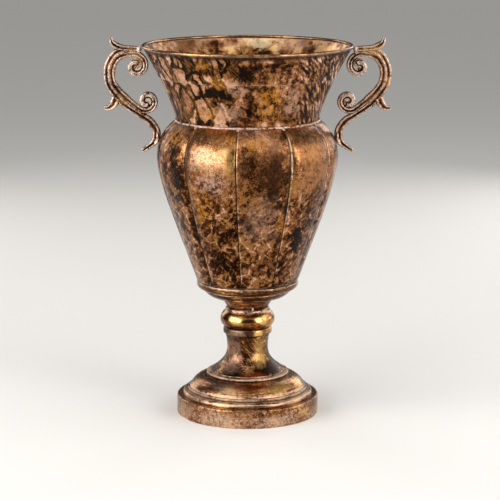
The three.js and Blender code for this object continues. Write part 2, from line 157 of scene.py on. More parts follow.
# Finishes: one patina of dark umber, bronze, brass, chalk wash, amber stain and rubbed gold, with painted
# highlights, reflections and shade laid over it in places
paint = {
    "soot": tint(18, 8, 2),
    "umber": tint(56, 28, 8),
    "bronze": tint(112, 68, 36),
    "brass": tint(162, 112, 74),
    "rose": tint(190, 148, 122),
    "pale": tint(208, 176, 150),
    "chalk": tint(218, 194, 176),
    "cream": tint(250, 230, 184),
    "amber": tint(196, 130, 42),
    "rust": tint(168, 74, 20),
    "gold": tint(232, 182, 110),
    "lavender": tint(186, 172, 166),
    "russet": tint(124, 70, 40),
    "oldGold": tint(160, 116, 56),
}
patinaStops = [
    (0.14, paint["soot"]), (0.3, paint["umber"]), (0.43, paint["bronze"]),
    (0.56, paint["brass"]), (0.68, paint["rose"]), (0.9, paint["chalk"]),
]
coatSheen = 0.15  # low, so that the dark coats stay dark
blotEdge = {"size": 9, "torn": 2.2, "core": 0.4, "outer": 1.15}


class Finish:  # a material under construction, with its coats laid one over the other
    def __init__(self, name):
        self.material = bpy.data.materials.new(name)
        self.material.use_nodes = True
        tree = self.material.node_tree
        self.surface = next(n for n in tree.nodes if n.type == "BSDF_PRINCIPLED")
        self.surface.inputs["Specular IOR Level"].default_value = coatSheen
        coords = tree.nodes.new("ShaderNodeTexCoord")
        self.place = Wire(tree, coords.outputs["Object"]).stretch(1 / mm, 1 / mm, 1 / mm)
        self.x, self.y, self.z = (self.place.part(axis) for axis in range(3))

    def marked(self, name):
        return self.place.add("ShaderNodeAttribute", {"attribute_name": name}, None, "Fac")

    def ground(self, tone, metal=0.85, rough=0.38):
        self.colour = tone.add("ShaderNodeValToRGB", {"stops": patinaStops}, {0: tone})
        middling = tone.ease(0.26, 0.4) * tone.ease(0.74, 0.6)
        for seed, name in ((41, "russet"), (43, "oldGold")):
            drift = self.place.noise(17, 3, 0.6, seed).ease(0.5, 0.64)
            self.colour = (drift * middling * 0.35).mix(self.colour, paint[name])
        self.metal = metal - 0.5 * tone.ease(0.6, 0.85)
        self.rough = rough + 0.18 * tone.ease(0.55, 0.85) + 0.1 * tone.ease(0.4, 0.2)

    def lay(self, mask, colour, metal, rough):
        self.colour = mask.mix(self.colour, colour)
        self.metal = self.metal + mask * (metal - self.metal)
        self.rough = self.rough + mask * (rough - self.rough)

    def done(self, height, depth, strength=0.6):
        sockets = {"Height": height, "Distance": depth * mm, "Strength": strength}
        bump = height.add("ShaderNodeBump", None, sockets)
        feeds = {"Base Color": self.colour, "Metallic": self.metal, "Roughness": self.rough, "Normal": bump}
        for name, wire in feeds.items():
            self.material.node_tree.links.new(wire.socket, self.surface.inputs[name])
        return self.material

    def blot(self, spot):  # a blot with a ragged edge, used for stains and for painted highlights and shade: its middle and its reach
        edge = {**blotEdge, **spot}
        ragged = self.place.noise(edge["size"], 4, 0.65, spot["middle"][0])
        middle = self.place.shift(tuple(-side for side in spot["middle"]))
        near = middle.stretch(*(1 / side for side in spot["reach"]))
        away = near.add("ShaderNodeVectorMath", {"operation": "LENGTH"}, {0: near}, "Value")
        return (away + edge["torn"] * (ragged - 0.5)).ease(edge["outer"], edge["core"])

    def blots(self, spots):
        return sumOf(self.blot(spot) for spot in spots).least(1)

    def patches(self, spots, speckle):  # coats of one paint each: stains, and in places painted highlights, reflections and shade
        for spot in spots:
            mask = self.blot(spot) * speckle * spot["amount"]
            self.lay(mask, paint[spot["paint"]], spot["metal"], spot["rough"])


def sumOf(wires):
    total = None
    for wire in wires:
        total = wire if total is None else total + wire
    return total


def twisted(here, turn):  # coordinates turned about the axis with height, so that a pattern slants
    angle = here.part(2) * turn
    return here.add("ShaderNodeVectorRotate", {"rotation_type": "Z_AXIS"}, {"Vector": here, "Angle": angle})


def warped(here, size, reach, seed=0.0):
    push = here.noise(size, 2, 0.5, seed, "Color")
    return here.shift(push.shift((-0.5, -0.5, -0.5)).stretch(2 * reach, 2 * reach, 2 * reach))


def spotAt(middle, reach, **edge):  # where a stain, painted highlight or painted shade lies, how far it reaches and how its edge is torn
    return {"middle": middle, "reach": reach, **edge}


def coatAt(name, middle, reach, amount, metal, rough, **edge):  # a coat of one paint, used for stains and for painted highlights, reflections and shade
    return {**spotAt(middle, reach, **edge), "paint": name, "amount": amount, "metal": metal, "rough": rough}


neckLook = {
    "leafWide": 13, "leafTall": 36, "pebble": 12, "streakWide": 3.6, "streakTall": 24, "streakTurn": 0.009,
    "leafSide": (-8, -22), "streakSide": (44, 62), "behind": (-30, 20),  # where each begins and is full
    "innerShade": (388, 379), "underRimShade": (391, 394),
    "shadow": [
        spotAt((-36, -88, 381), (34, 30, 8)),
        spotAt((-8, -96, 378), (26, 30, 10)),
        spotAt((30, -92, 384), (26, 30, 6)),
        spotAt((2, -84, 345), (7, 20, 20)),
    ],
    "patches": [
        coatAt("rose", (46, -72, 346), (10, 20, 16), 0.6, 0.8, 0.4, torn=4),
        coatAt("rose", (-12, -88, 361), (11, 20, 10), 0.6, 0.8, 0.4, torn=4),
        coatAt("rose", (-20, -80, 336), (13, 20, 10), 0.5, 0.8, 0.4, torn=4),
    ],
    "innerPatches": [
        # painted highlight: cream on the far inner wall
        coatAt("cream", (20, 104, 391), (26, 24, 9), 0.4, 0.95, 0.24, torn=3),
        coatAt("rose", (52, 92, 390), (20, 24, 10), 0.4, 0.9, 0.34, torn=3),
        coatAt("brass", (-66, 80, 390), (30, 24, 10), 0.5, 0.9, 0.34, torn=3),
    ],
    "amber": [
        spotAt((-33, -86, 369), (15, 20, 8)),
        spotAt((-36, -72, 333), (20, 20, 9)),
        spotAt((22, -80, 345), (15, 20, 30)),
        spotAt((-44, -84, 384), (12, 20, 7)),
    ],
}


def neckLeaf(here, mottle, fleck, grain):  # leaf-shaped patches between dark veins
    leafPlace = warped(warped(here, 16, 7), 5, 1.4, 37)
    leafPlace = leafPlace.stretch(1, 1, neckLook["leafWide"] / neckLook["leafTall"])
    vein = leafPlace.cells(neckLook["leafWide"], "DISTANCE_TO_EDGE", 2) + 0.34 * (mottle - 0.5)
    leafTone = leafPlace.cells(neckLook["leafWide"], "F1", 2, "Color").part(0)
    leaf = 0.13 + vein.ease(0.03, 0.15) * (0.36 + 0.24 * leafTone) + 0.5 * (fleck - 0.5) + 0.6 * (grain - 0.5)
    return leaf, vein


def neckPebble(here, mottle, fleck, grain):  # rounder patches, each with a tone of its own
    pebblePlace = warped(here, 10, 4, 21)
    pebbleEdge = pebblePlace.cells(neckLook["pebble"], "DISTANCE_TO_EDGE", 4) + 0.4 * (mottle - 0.5)
    pebbleTone = pebblePlace.cells(neckLook["pebble"], "F1", 4, "Color").part(0)
    pebble = 0.29 + pebbleEdge.ease(0.0, 0.26) * (0.08 + 0.26 * pebbleTone)
    return pebble + 0.6 * (fleck - 0.5) + 0.5 * (grain - 0.5)


def neckStreak(here, broad, mottle, grain):  # slanting strokes
    slanted = twisted(here, neckLook["streakTurn"])
    streaked = warped(slanted, 12, 2, 27).stretch(1, 1, neckLook["streakWide"] / neckLook["streakTall"])
    streak = streaked.noise(neckLook["streakWide"], 3, 0.6, 13)
    return 0.4 + 2.8 * (streak - 0.5) + 0.5 * (broad - 0.5) + 0.5 * (mottle - 0.5) + 0.4 * (grain - 0.5)


def neckFinish():
    finish = Finish("neckPatina")
    here = finish.place
    grain = here.noise(1.6, 3, 0.7, 3)
    fleck = here.noise(3.6, 3, 0.6, 5)
    mottle = warped(here, 9, 3, 7).noise(8, 4, 0.6, 9)
    outline = abs(mottle - 0.48).ease(0.03, 0.0) * here.noise(12, 2, 0.5, 33).ease(0.4, 0.55)
    broad = here.noise(34, 3, 0.5, 11)
    leaf, vein = neckLeaf(here, mottle, fleck, grain)
    pebble = neckPebble(here, mottle, fleck, grain)
    streak = neckStreak(here, broad, mottle, grain)
    upright = here.stretch(1, 1, 0.35).noise(5, 3, 0.6, 15)
    spatter = 0.51 + 0.9 * (mottle - 0.5) + 1.2 * (upright - 0.5) + 0.8 * (grain - 0.5) + 0.7 * (broad - 0.5)
    behind = finish.y.ease(*neckLook["behind"])
    leafSide = (finish.x + 40 * (broad - 0.5)).ease(*neckLook["leafSide"])
    streakSide = (finish.x + 30 * (broad - 0.5)).ease(*neckLook["streakSide"])
    spatter = spatter + here.noise(19, 2, 0.5, 25).ease(0.42, 0.56) * (pebble - spatter)
    tone = spatter + leafSide * (leaf - spatter)
    tone = tone + streakSide * (streak - tone)
    back = spatter + broad.ease(0.46, 0.56) * (leaf - spatter)
    tone = tone + behind * (back - tone)
    tone = tone - 0.22 * finish.blots(neckLook["shadow"]) - 0.2 * outline
    inside = finish.marked("inside").ease(0.4, 0.6)
    glow = warped(here, 12, 4, 19).noise(16, 4, 0.6, 23)
    inner = 0.6 + 2.0 * (glow - 0.5) + 0.5 * (fleck - 0.5) + 0.5 * (grain - 0.5)
    inner = inner - 0.2 * (finish.z + 14 * (mottle - 0.5)).ease(*neckLook["innerShade"])
    tone = tone + inside * (inner - tone)
    finish.ground(tone, metal=0.8, rough=0.42)
    stain = finish.blots(neckLook["amber"]) + behind * here.noise(30, 3, 0.5, 17).ease(0.58, 0.7)
    stain = (stain * (1 - inside)).least(1) * (upright + 0.8 * (grain - 0.5)).ease(0.42, 0.62)
    finish.lay(stain * 0.65, paint["amber"], 0.85, 0.34)
    rusty = vein.ease(0.01, 0.04) * vein.ease(0.1, 0.06) * here.noise(15, 2, 0.5, 39).ease(0.46, 0.56)
    finish.lay(leafSide * rusty * (1 - inside) * 0.25, paint["amber"], 0.85, 0.36)
    finish.patches(neckLook["patches"], (mottle + 0.6 * (grain - 0.5)).ease(0.36, 0.5) * (1 - inside))
    finish.lay(inside * glow.ease(0.48, 0.62) * 0.8, paint["gold"], 0.95, 0.26)
    finish.patches(neckLook["innerPatches"], inside * (mottle + 0.5 * (grain - 0.5)).ease(0.36, 0.52))
    ridge = finish.marked("ridge")
    finish.lay(ridge * mottle.ease(0.4, 0.6) * 0.6, paint["chalk"], 0.5, 0.42)
    # painted shade: a dark band under the rim wire, laid with the same dark coat as the hollows
    underRimShade = (finish.z + 5 * (fleck - 0.5)).ease(*neckLook["underRimShade"]) * (1 - inside)
    finish.lay((underRimShade + finish.marked("hollow")).least(1) * 0.85, paint["soot"], 0.4, 0.5)
    return finish.done(tone + 0.4 * grain, depth=0.25)


bodyLook = {
    "satinAbove": 278, "mottledBelow": 226, "spot": 9, "vein": 14,
    "strokeWide": 4, "strokeTall": 13, "strokeTurn": -0.008, "footEdgeHighlight": (147.4, 146.4),
    # where the painted highlight on the right lobe's crease edge lies
    "creaseHighlight": {"left": (36, 40), "right": (58, 52), "low": (250, 276), "high": (312, 296)},
    "amber": [
        spotAt((-46, -80, 236), (10, 20, 24)),
        spotAt((-14, -90, 309), (12, 20, 8)),
        spotAt((10, -90, 306), (18, 20, 8)),
        spotAt((36, -72, 216), (7, 20, 18)),
        spotAt((-74, -50, 308), (14, 20, 9)),
    ],
    "shadow": [
        spotAt((-22, -58, 171), (18, 20, 15)),
        spotAt((3, -78, 222), (9, 20, 22)),
        spotAt((30, -90, 266), (16, 20, 34)),
        spotAt((4, -96, 276), (26, 20, 34)),
        spotAt((66, -62, 305), (12, 20, 9)),
        spotAt((50, -54, 200), (7, 20, 18)),
        spotAt((-72, -60, 276), (10, 20, 40)),
    ],
    "dusty": [
        spotAt((-38, -86, 264), (20, 20, 14)),
    ],
    "mottled": [
        spotAt((-82, -50, 288), (25, 36, 48), torn=1.4),
    ],
    "matte": [
        spotAt((22, -92, 288), (18, 30, 42), torn=1.4),
        spotAt((-4, -96, 286), (7, 20, 30), torn=1.4),
    ],
    "patches": [
        # painted highlight: pale and gold coats where the left softbox reflects in the left lobe, reaching to
        # its crease
        coatAt("gold", (-34, -88, 288), (34, 26, 18), 0.06, 0.98, 0.31),
        coatAt("pale", (-48, -82, 288), (24, 26, 15), 0.22, 0.94, 0.32),
        coatAt("gold", (-19, -94, 288), (8, 20, 18), 0.45, 0.6, 0.42, torn=2),
        # painted sheen: a brass coat brightening the right lobe
        coatAt("brass", (68, -66, 282), (24, 26, 38), 0.4, 0.9, 0.34),
        coatAt("umber", (27, -90, 282), (15, 30, 40), 0.65, 0.7, 0.55, torn=1.2, core=0.2),
        coatAt("rose", (14, -80, 226), (22, 22, 32), 0.28, 0.7, 0.4),
    ],
}


def bodyCoarse(here, broad, mottle, fleck, grain):  # dabs, dark spots and pale veins of the lower body
    spotPlace = warped(here, 6, 4, 17)
    spot = spotPlace.cells(bodyLook["spot"], "SMOOTH_F1", 19).ease(0.45, 0.15)
    chosen = spotPlace.cells(bodyLook["spot"], "F1", 19, "Color").part(1).ease(0.5, 0.65)
    veinPlace = warped(warped(here, 12, 4, 23), 4, 1.5, 24)
    vein = veinPlace.cells(bodyLook["vein"], "DISTANCE_TO_EDGE", 29).ease(0.08, 0.015)
    slanted = twisted(warped(here, 15, 4, 27), bodyLook["strokeTurn"])
    stroke = slanted.stretch(1, 1, bodyLook["strokeWide"] / bodyLook["strokeTall"])
    stroke = stroke.noise(bodyLook["strokeWide"], 3, 0.6, 31)
    dab = (mottle + 0.8 * (stroke - 0.5) + 0.4 * (fleck - 0.5)).ease(0.36, 0.62)
    coarse = 0.255 + 0.22 * dab + 0.4 * (fleck - 0.5) + 0.55 * (grain - 0.5)
    return coarse + 0.6 * (broad - 0.5) - 0.06 * spot * chosen + 0.18 * vein * fleck.ease(0.38, 0.54)


def paintCreaseHighlight(finish, fromCrease, side, highlightBreakup):  # a painted highlight along the edge of one gore beside its crease
    spot = bodyLook["creaseHighlight"]
    creaseHighlight = fromCrease.ease(2.5, 1.5) * highlightBreakup * side.ease(0.1, -0.1)
    creaseHighlight = creaseHighlight * finish.x.ease(*spot["right"]) * finish.x.ease(*spot["left"])
    return creaseHighlight * finish.z.ease(*spot["low"]) * finish.z.ease(*spot["high"])


def bodyFinish():
    finish = Finish("bodyPatina")
    here = finish.place
    ragged = finish.z + 80 * (here.noise(22, 3, 0.55, 2) - 0.5)
    lower = ragged.ease(bodyLook["satinAbove"], bodyLook["mottledBelow"])
    grain = here.noise(1.4, 3, 0.75, 3)
    fleck = here.noise(3.4, 3, 0.6, 5)
    broad = here.stretch(1, 1, 0.7).noise(30, 3, 0.5, 7)
    mottle = warped(here, 8, 3, 11).noise(8, 3, 0.55, 13)
    satin = 0.49 + 0.6 * (broad - 0.5) + 0.5 * (fleck - 0.5) + 0.8 * (grain - 0.5)
    coarse = bodyCoarse(here, broad, mottle, fleck, grain)
    mottled = finish.blots(bodyLook["mottled"])
    # the lower body is darker: its mottled patina, together with painted shade on its downward-facing
    # surfaces
    tone = satin + (lower + mottled).least(1) * (coarse - satin)
    fromCrease, side = finish.marked("fromCrease"), finish.marked("goreSide")
    # painted shade: one side of each crease darkened
    creaseShade = (fromCrease + 8 * (mottle - 0.5)).ease(9, 1) * side.ease(0, 0.4)
    tone = tone - 0.14 * creaseShade * here.noise(26, 2, 0.5, 33).ease(0.4, 0.55)
    tone = tone - 0.19 * finish.blots(bodyLook["shadow"])
    inside = finish.marked("inside").ease(0.4, 0.6)
    tone = tone - 0.05 * inside
    finish.ground(tone, metal=0.9, rough=0.26)
    matte = (mottled + finish.blots(bodyLook["matte"])).least(1)
    finish.metal = finish.metal - 0.3 * matte
    finish.rough = finish.rough + 0.26 * matte
    dusty = finish.blots(bodyLook["dusty"]) * (fleck + 0.7 * (grain - 0.5)).ease(0.42, 0.6) * (1 - inside)
    finish.lay(dusty * 0.35, paint["lavender"], 0.45, 0.42)
    finish.patches(bodyLook["patches"], (fleck + 0.8 * (grain - 0.5)).ease(0.25, 0.5))
    stain = finish.blots(bodyLook["amber"]) + finish.y.ease(-20, 20) * broad.ease(0.58, 0.7)
    stain = stain.least(1) * (fleck + 0.8 * (grain - 0.5)).ease(0.4, 0.6) * (1 - inside)
    finish.lay(stain * 0.6, paint["amber"], 0.85, 0.34)
    # painted highlight: a broken cream line on the right lobe's edge beside its crease
    highlightBreakup = (mottle + fleck + 0.8 * (grain - 0.5)).ease(0.8, 1.1)
    creaseHighlight = paintCreaseHighlight(finish, fromCrease, side, highlightBreakup)
    finish.lay(creaseHighlight * 0.9, paint["cream"], 0.75, 0.34)
    finish.lay(fromCrease.ease(0.9, 0.35) * 0.8, paint["umber"], 0.3, 0.55)
    # painted highlight: a pale line on the lit edge beside each crease
    lit = fromCrease.ease(0.7, 1.0) * fromCrease.ease(1.9, 1.3) * side.ease(0.1, -0.1)
    finish.lay(lit * (1 - inside) * mottle.ease(0.42, 0.6) * 0.6, paint["chalk"], 0.6, 0.4)
    # painted highlight: a pale line along the body's foot edge
    finish.lay(finish.z.ease(*bodyLook["footEdgeHighlight"]) * fleck.ease(0.3, 0.5) * 0.8, paint["pale"], 0.8, 0.34)
    return finish.done(tone + 0.4 * grain, depth=0.14)


turnedLook = {
    "rim": {"tone": 0.46, "fleck": 0.2, "grain": 0.3, "brush": 0.1,
            "gold": 0.6, "metal": 0.95, "rough": 0.22, "edge": 0.5},
    "cap": {"tone": 0.37, "fleck": 0.3, "grain": 0.3, "brush": 0.4,
            "gold": 0.7, "metal": 0.95, "rough": 0.2, "edge": 0.5,
            # the cap's pale top edge is a painted highlight, laid like the chalk of the other pieces
            "washAndHighlight": [(143.5, 147, 1)]},
    "collar": {"tone": 0.41, "fleck": 0.4, "grain": 0.5, "brush": 0.9,
               "gold": 0.1, "metal": 0.85, "rough": 0.34, "edge": 0.6,
               "washAndHighlight": [(116, 128, 0.3)]},
    "knop": {"tone": 0.43, "fleck": 0.4, "grain": 0.45, "brush": 0.3,
             "gold": 0.8, "metal": 0.98, "rough": 0.17, "edge": 0.3,
             "washAndHighlight": [(111.5, 116.5, 0.6)], "patches": [
                 # painted highlights: gold where the two softboxes reflect in the knop
                 coatAt("gold", (-13, -26, 106), (11, 12, 6), 0.8, 0.98, 0.18),
                 coatAt("gold", (16, -25, 106), (11, 12, 6), 0.8, 0.98, 0.18),
                 coatAt("rust", (7, -24, 97), (14, 14, 4), 0.5, 0.95, 0.2)]},
    "stem": {"tone": 0.3, "fleck": 0.35, "grain": 0.5, "brush": 0.2, "scratch": 2.2,
             "gold": 0.5, "metal": 0.88, "rough": 0.3, "edge": 0.6,
             "washAndHighlight": [(86, 95, 0.12)], "shade": [(45, 53, 0.06), (85, 95, 0.06)], "patches": [
                 coatAt("rose", (-17, -16, 70), (13, 18, 20), 0.32, 0.45, 0.5),
                 # painted highlight on the right of the waist
                 coatAt("gold", (14, -18, 68), (9, 14, 17), 0.38, 0.98, 0.28),
                 coatAt("rose", (-19, -27, 57), (16, 16, 8), 0.32, 0.5, 0.45),
                 coatAt("rose", (-12, -24, 91), (12, 12, 6), 0.4, 0.6, 0.42),
                 # painted highlight in gold and, beside it, painted dark reflection in umber on the band
                 coatAt("gold", (12, -24, 90), (6, 12, 6), 0.8, 0.98, 0.22),
                 coatAt("umber", (3, -27, 91), (5, 10, 6), 0.6, 0.8, 0.3),
                 # painted reflection: an orange-red glow at the flare's foot
                 coatAt("rust", (8, -40, 47), (20, 16, 4), 0.5, 0.9, 0.3)]},
    "dome": {"tone": 0.47, "fleck": 0.4, "grain": 0.5, "brush": 0.9,
             "gold": 0.7, "metal": 0.97, "rough": 0.27, "edge": 0.8,
             "washAndHighlight": [(42.6, 46, 1), (22, 31.5, 0.65)], "patches": [
                 # painted highlights on the dome's swell, left and right
                 coatAt("pale", (-20, -48, 37), (22, 16, 6), 0.4, 0.8, 0.3, torn=1.2),
                 coatAt("gold", (30, -43, 37), (20, 16, 6), 0.45, 0.8, 0.3, torn=1.2),
                 # painted reflection: an orange-red glow in the middle below the crown
                 coatAt("rust", (8, -52, 39), (26, 14, 5), 0.35, 0.95, 0.22)]},
    "plinth": {"tone": 0.48, "fleck": 0.9, "grain": 1.1, "brush": 0.6,
               "gold": 0.5, "metal": 0.88, "rough": 0.28, "edge": 0.7,
               "washAndHighlight": [(-2, 11, 0.5)], "patches": [
                   coatAt("pale", (-66, -32, 9), (18, 26, 11), 0.3, 0.6, 0.42),
                   coatAt("pale", (-30, -69, 7), (34, 20, 10), 0.4, 0.7, 0.4),
                   coatAt("pale", (34, -68, 7), (34, 20, 9), 0.4, 0.7, 0.4),
                   coatAt("pale", (66, -24, 5), (16, 24, 8), 0.3, 0.6, 0.4)]},
}


def turnedFinish(name):
    look = turnedLook[name]
    finish = Finish(name + "Patina")
    here = finish.place
    grain = here.noise(1.2, 3, 0.75, 3)
    fleck = here.noise(3.0, 3, 0.62, 5)
    broad = here.noise(22, 3, 0.55, 7)
    rings = here.stretch(0.06, 0.06, 1).noise(1.1, 3, 0.65, 11)
    scratch = twisted(here, 0.036).stretch(1, 1, 0.1).noise(1.1, 2, 0.6, 13) - 0.5
    tone = look["tone"] + 0.5 * (broad - 0.5) + look["fleck"] * (fleck - 0.5) + look["grain"] * (grain - 0.5)
    tone = tone + look["brush"] * (rings - 0.5) + look.get("scratch", 0.6) * scratch * broad.ease(0.4, 0.55)

    def between(low, high, soft=0.8):
        return finish.z.ease(low - soft, low + soft) * finish.z.ease(high + soft, high - soft)

    for low, high, amount in look.get("shade", []):
        tone = tone - amount * between(low, high)
    finish.ground(tone, look["metal"], look["rough"])
    gilt = broad + 0.3 * (fleck - 0.5) + 0.4 * (rings - 0.5)
    gilt = gilt.ease(0.66 - 0.2 * look["gold"], 0.8 - 0.2 * look["gold"])
    finish.lay(gilt * 0.5, paint["gold"], 0.98, look["rough"])
    patchy = (0.5 * broad + 0.5 * rings + 0.6 * (fleck - 0.5) + 0.5 * (grain - 0.5)).ease(0.34, 0.58)
    upward = finish.marked("facing")
    for low, high, amount in look.get("washAndHighlight", []):  # chalk left lying between two heights; on the cap's top edge a painted highlight
        finish.lay(between(low, high) * upward.ease(-0.3, 0.6) * patchy * amount, paint["pale"], 0.4, 0.48)
    finish.patches(look.get("patches", []), (fleck + 0.6 * (grain - 0.5)).ease(0.2, 0.5))
    hollow = finish.marked("hollow")
    finish.lay(hollow.ease(0.06, 0.5) * 0.95, paint["soot"], 0.4, 0.5)
    ridge = finish.marked("ridge").ease(0.2, 0.7)
    finish.lay(ridge * fleck.ease(0.36, 0.56) * look["edge"], paint["pale"], 0.7, 0.34)
    return finish.done(tone + 0.3 * grain + 0.2 * rings, depth=0.06)


def handleFinish():
    finish = Finish("handleCasting")
    here = finish.place
    grain = here.noise(1.0, 3, 0.7, 3)
    fleck = here.noise(3.0, 3, 0.6, 5)
    broad = here.noise(20, 2, 0.5, 7)
    ridge, hollow = finish.marked("ridge"), finish.marked("hollow")
    tone = 0.41 + 0.5 * (broad - 0.5) + 0.4 * (fleck - 0.5) + 0.6 * (grain - 0.5)
    tone = tone - 0.2 * hollow.ease(0.05, 0.5)
    finish.ground(tone, metal=0.9, rough=0.32)
    # a lavender coat, heavier towards the left handle (x below 0)
    lavenderCoat = (0.35 + 0.65 * finish.x.ease(40, -40)) * (fleck + 0.6 * (grain - 0.5)).ease(0.4, 0.62)
    finish.lay(lavenderCoat * (1 - hollow.ease(0.0, 0.3)) * 0.5, paint["lavender"], 0.5, 0.42)
    finish.lay(broad.ease(0.52, 0.7) * 0.25, paint["gold"], 0.95, 0.3)
    brushed = ridge.ease(0.1, 0.6) * (fleck + 0.5 * grain).ease(0.5, 0.85)
    finish.lay(brushed * 0.7, paint["chalk"], 0.7, 0.36)
    coil = finish.marked("coil") * (fleck + 0.5 * (grain - 0.5)).ease(0.36, 0.58)
    finish.lay(coil * (1 - hollow.ease(0.0, 0.25)) * 0.9, paint["chalk"], 0.35, 0.45)
    finish.lay(finish.marked("braze").ease(0.3, 0.8) * fleck.ease(0.3, 0.5), paint["chalk"], 0.4, 0.45)
    return finish.done(tone + 0.6 * grain, depth=0.2)


def brazeFinish():
    finish = Finish("brazeMetal")
    here = finish.place
    grain = here.noise(0.9, 3, 0.7, 3)
    fleck = here.noise(4, 3, 0.6, 5)
    finish.ground(0.62 + 1.3 * (fleck - 0.5) + 0.8 * (grain - 0.5), metal=0.7, rough=0.36)
    finish.lay(fleck.ease(0.45, 0.6) * 0.6, paint["lavender"], 0.5, 0.4)
    finish.lay(fleck.ease(0.46, 0.36), paint["umber"], 0.4, 0.5)
    return finish.done(fleck + 0.5 * grain, depth=0.2)


def steelFinish(name, colour, dull):
    finish = Finish(name)
    here = finish.place
    grain = here.noise(0.8, 3, 0.6, 3)
    cloud = here.noise(9, 4, 0.6, 5)
    brushed = here.stretch(1, 1, 0.08).noise(0.6, 2, 0.6, 7)
    finish.colour = (0.5 + 0.8 * (cloud - 0.5)).mix(tint(*(0.72 * value for value in colour)), tint(*colour))
    finish.metal = 0.9 - 0.3 * cloud.ease(0.6, 0.75)
    finish.rough = dull + 0.25 * (cloud - 0.5) + 0.15 * (brushed - 0.5)
    finish.lay(finish.marked("hollow").ease(0.1, 0.6) * 0.6, paint["umber"], 0.4, 0.6)
    finish.lay((cloud + 0.3 * (grain - 0.5)).ease(0.68, 0.78) * 0.5, paint["rust"], 0.2, 0.7)
    return finish.done(grain + brushed, depth=0.05)


finishes = {name: turnedFinish(name) for name in turnedLook}
finishes["neck"] = neckFinish()
finishes["body"] = bodyFinish()
finishes["handle"] = handleFinish()
finishes["braze"] = brazeFinish()
finishes["zinc"] = steelFinish("zincPlate", (176, 178, 180), dull=0.34)
finishes["steel"] = steelFinish("millScale", (120, 114, 110), dull=0.5)
print("finishes mixed:", len(finishes))


# Making and marking pieces
def meshOf(name, grid, wrapRows, wrapColumns):
    rows, columns = grid.shape[:2]
    index = np.arange(rows * columns).reshape(rows, columns)
    if wrapRows:
        index = np.vstack([index, index[:1]])
    if wrapColumns:
        index = np.hstack([index, index[:, :1]])
    quads = np.stack([index[:-1, :-1], index[:-1, 1:], index[1:, 1:], index[1:, :-1]], -1).reshape(-1, 4)
    mesh = bpy.data.meshes.new(name)
    mesh.from_pydata((grid.reshape(-1, 3) * mm).tolist(), [], quads.tolist())
    mesh.shade_smooth()
    return mesh


def addObject(name, data):
    added = bpy.data.objects.new(name, data)
    bpy.context.scene.collection.objects.link(added)
    return added


def settled(holder):  # the mesh that a holder's modifiers give, with the holder cleared away
    ready = holder.evaluated_get(bpy.context.evaluated_depsgraph_get())
    mesh = bpy.data.meshes.new_from_object(ready)
    bpy.data.objects.remove(holder)
    return mesh


def pointsOf(mesh):  # in millimetres
    points = np.empty(len(mesh.vertices) * 3)
    mesh.vertices.foreach_get("co", points)
    return points.reshape(-1, 3) / mm


def mark(mesh, name, values):
    attribute = mesh.attributes.get(name) or mesh.attributes.new(name, "FLOAT", "POINT")
    attribute.data.foreach_set("value", np.asarray(values, np.float32))


def markSurface(mesh, sharp=1.3, spread=2):  # how ridged, hollow and upward each point is
    count, points = len(mesh.vertices), pointsOf(mesh)
    normals = np.empty(count * 3, np.float32)
    mesh.vertex_normals.foreach_get("vector", normals)
    normals = normals.reshape(-1, 3)
    ends = np.empty(len(mesh.edges) * 2, np.int32)
    mesh.edges.foreach_get("vertices", ends)
    near, far = ends.reshape(-1, 2).T
    step = points[far] - points[near]
    square = np.maximum((step ** 2).sum(1), 1e-8)
    both = np.concatenate([near, far])
    other = np.concatenate([far, near])
    along = np.concatenate([(step * normals[near]).sum(1), -(step * normals[far]).sum(1)])
    degree = np.maximum(np.bincount(both, minlength=count), 1)
    bend = -2 * np.bincount(both, along / np.concatenate([square, square]), count) / degree
    for _ in range(spread):
        bend = 0.5 * bend + 0.5 * np.bincount(both, bend[other], count) / degree
    mark(mesh, "ridge", np.clip(bend * sharp, 0, 1))
    mark(mesh, "hollow", np.clip(-bend * sharp, 0, 1))
    mark(mesh, "facing", normals[:, 2])


def place(name, mesh, finish, nodes):
    mesh.name = name
    mesh.materials.clear()
    mesh.materials.append(finishes[finish])
    piece = addObject(name, mesh)
    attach(piece, "root")
    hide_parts(*nodes)
    print("placed", name, len(mesh.polygons), "faces")


def weld(mesh, reach=0.001):  # closes a pole where a whole ring lies in one point
    work = bmesh.new()
    work.from_mesh(mesh)
    bmesh.ops.remove_doubles(work, verts=work.verts, dist=reach * mm)
    work.to_mesh(mesh)
    work.free()


def ballAt(middle, radii, points=24, rows=13):
    angle = np.linspace(0, 2 * np.pi, points, endpoint=False)
    rings = []
    for tilt in np.linspace(-np.pi / 2, np.pi / 2, rows):
        ring = [np.cos(tilt) * np.cos(angle), np.cos(tilt) * np.sin(angle), np.full(points, np.sin(tilt))]
        rings.append(np.stack(ring, -1) * radii + middle)
    return np.array(rings)


# Turned pieces: a closed profile of (radius, height, corner round), revolved
def bezier(ends, handles, steps):
    share = np.linspace(0, 1, steps + 1)[:, None]
    first, last = (np.array(end, float) for end in ends)
    leave, reach = (np.array(handle, float) for handle in handles)
    rest = 1 - share
    line = rest ** 3 * first + 3 * rest ** 2 * share * leave
    line = line + 3 * rest * share ** 2 * reach + share ** 3 * last
    return [(radius, height, 0) for radius, height in line]


def bow(first, middle, last, steps):  # a curve with one handle
    first, middle, last = (np.array(at, float) for at in (first, middle, last))
    return bezier((first, last), (first + (middle - first) * 2 / 3, last + (middle - last) * 2 / 3), steps)


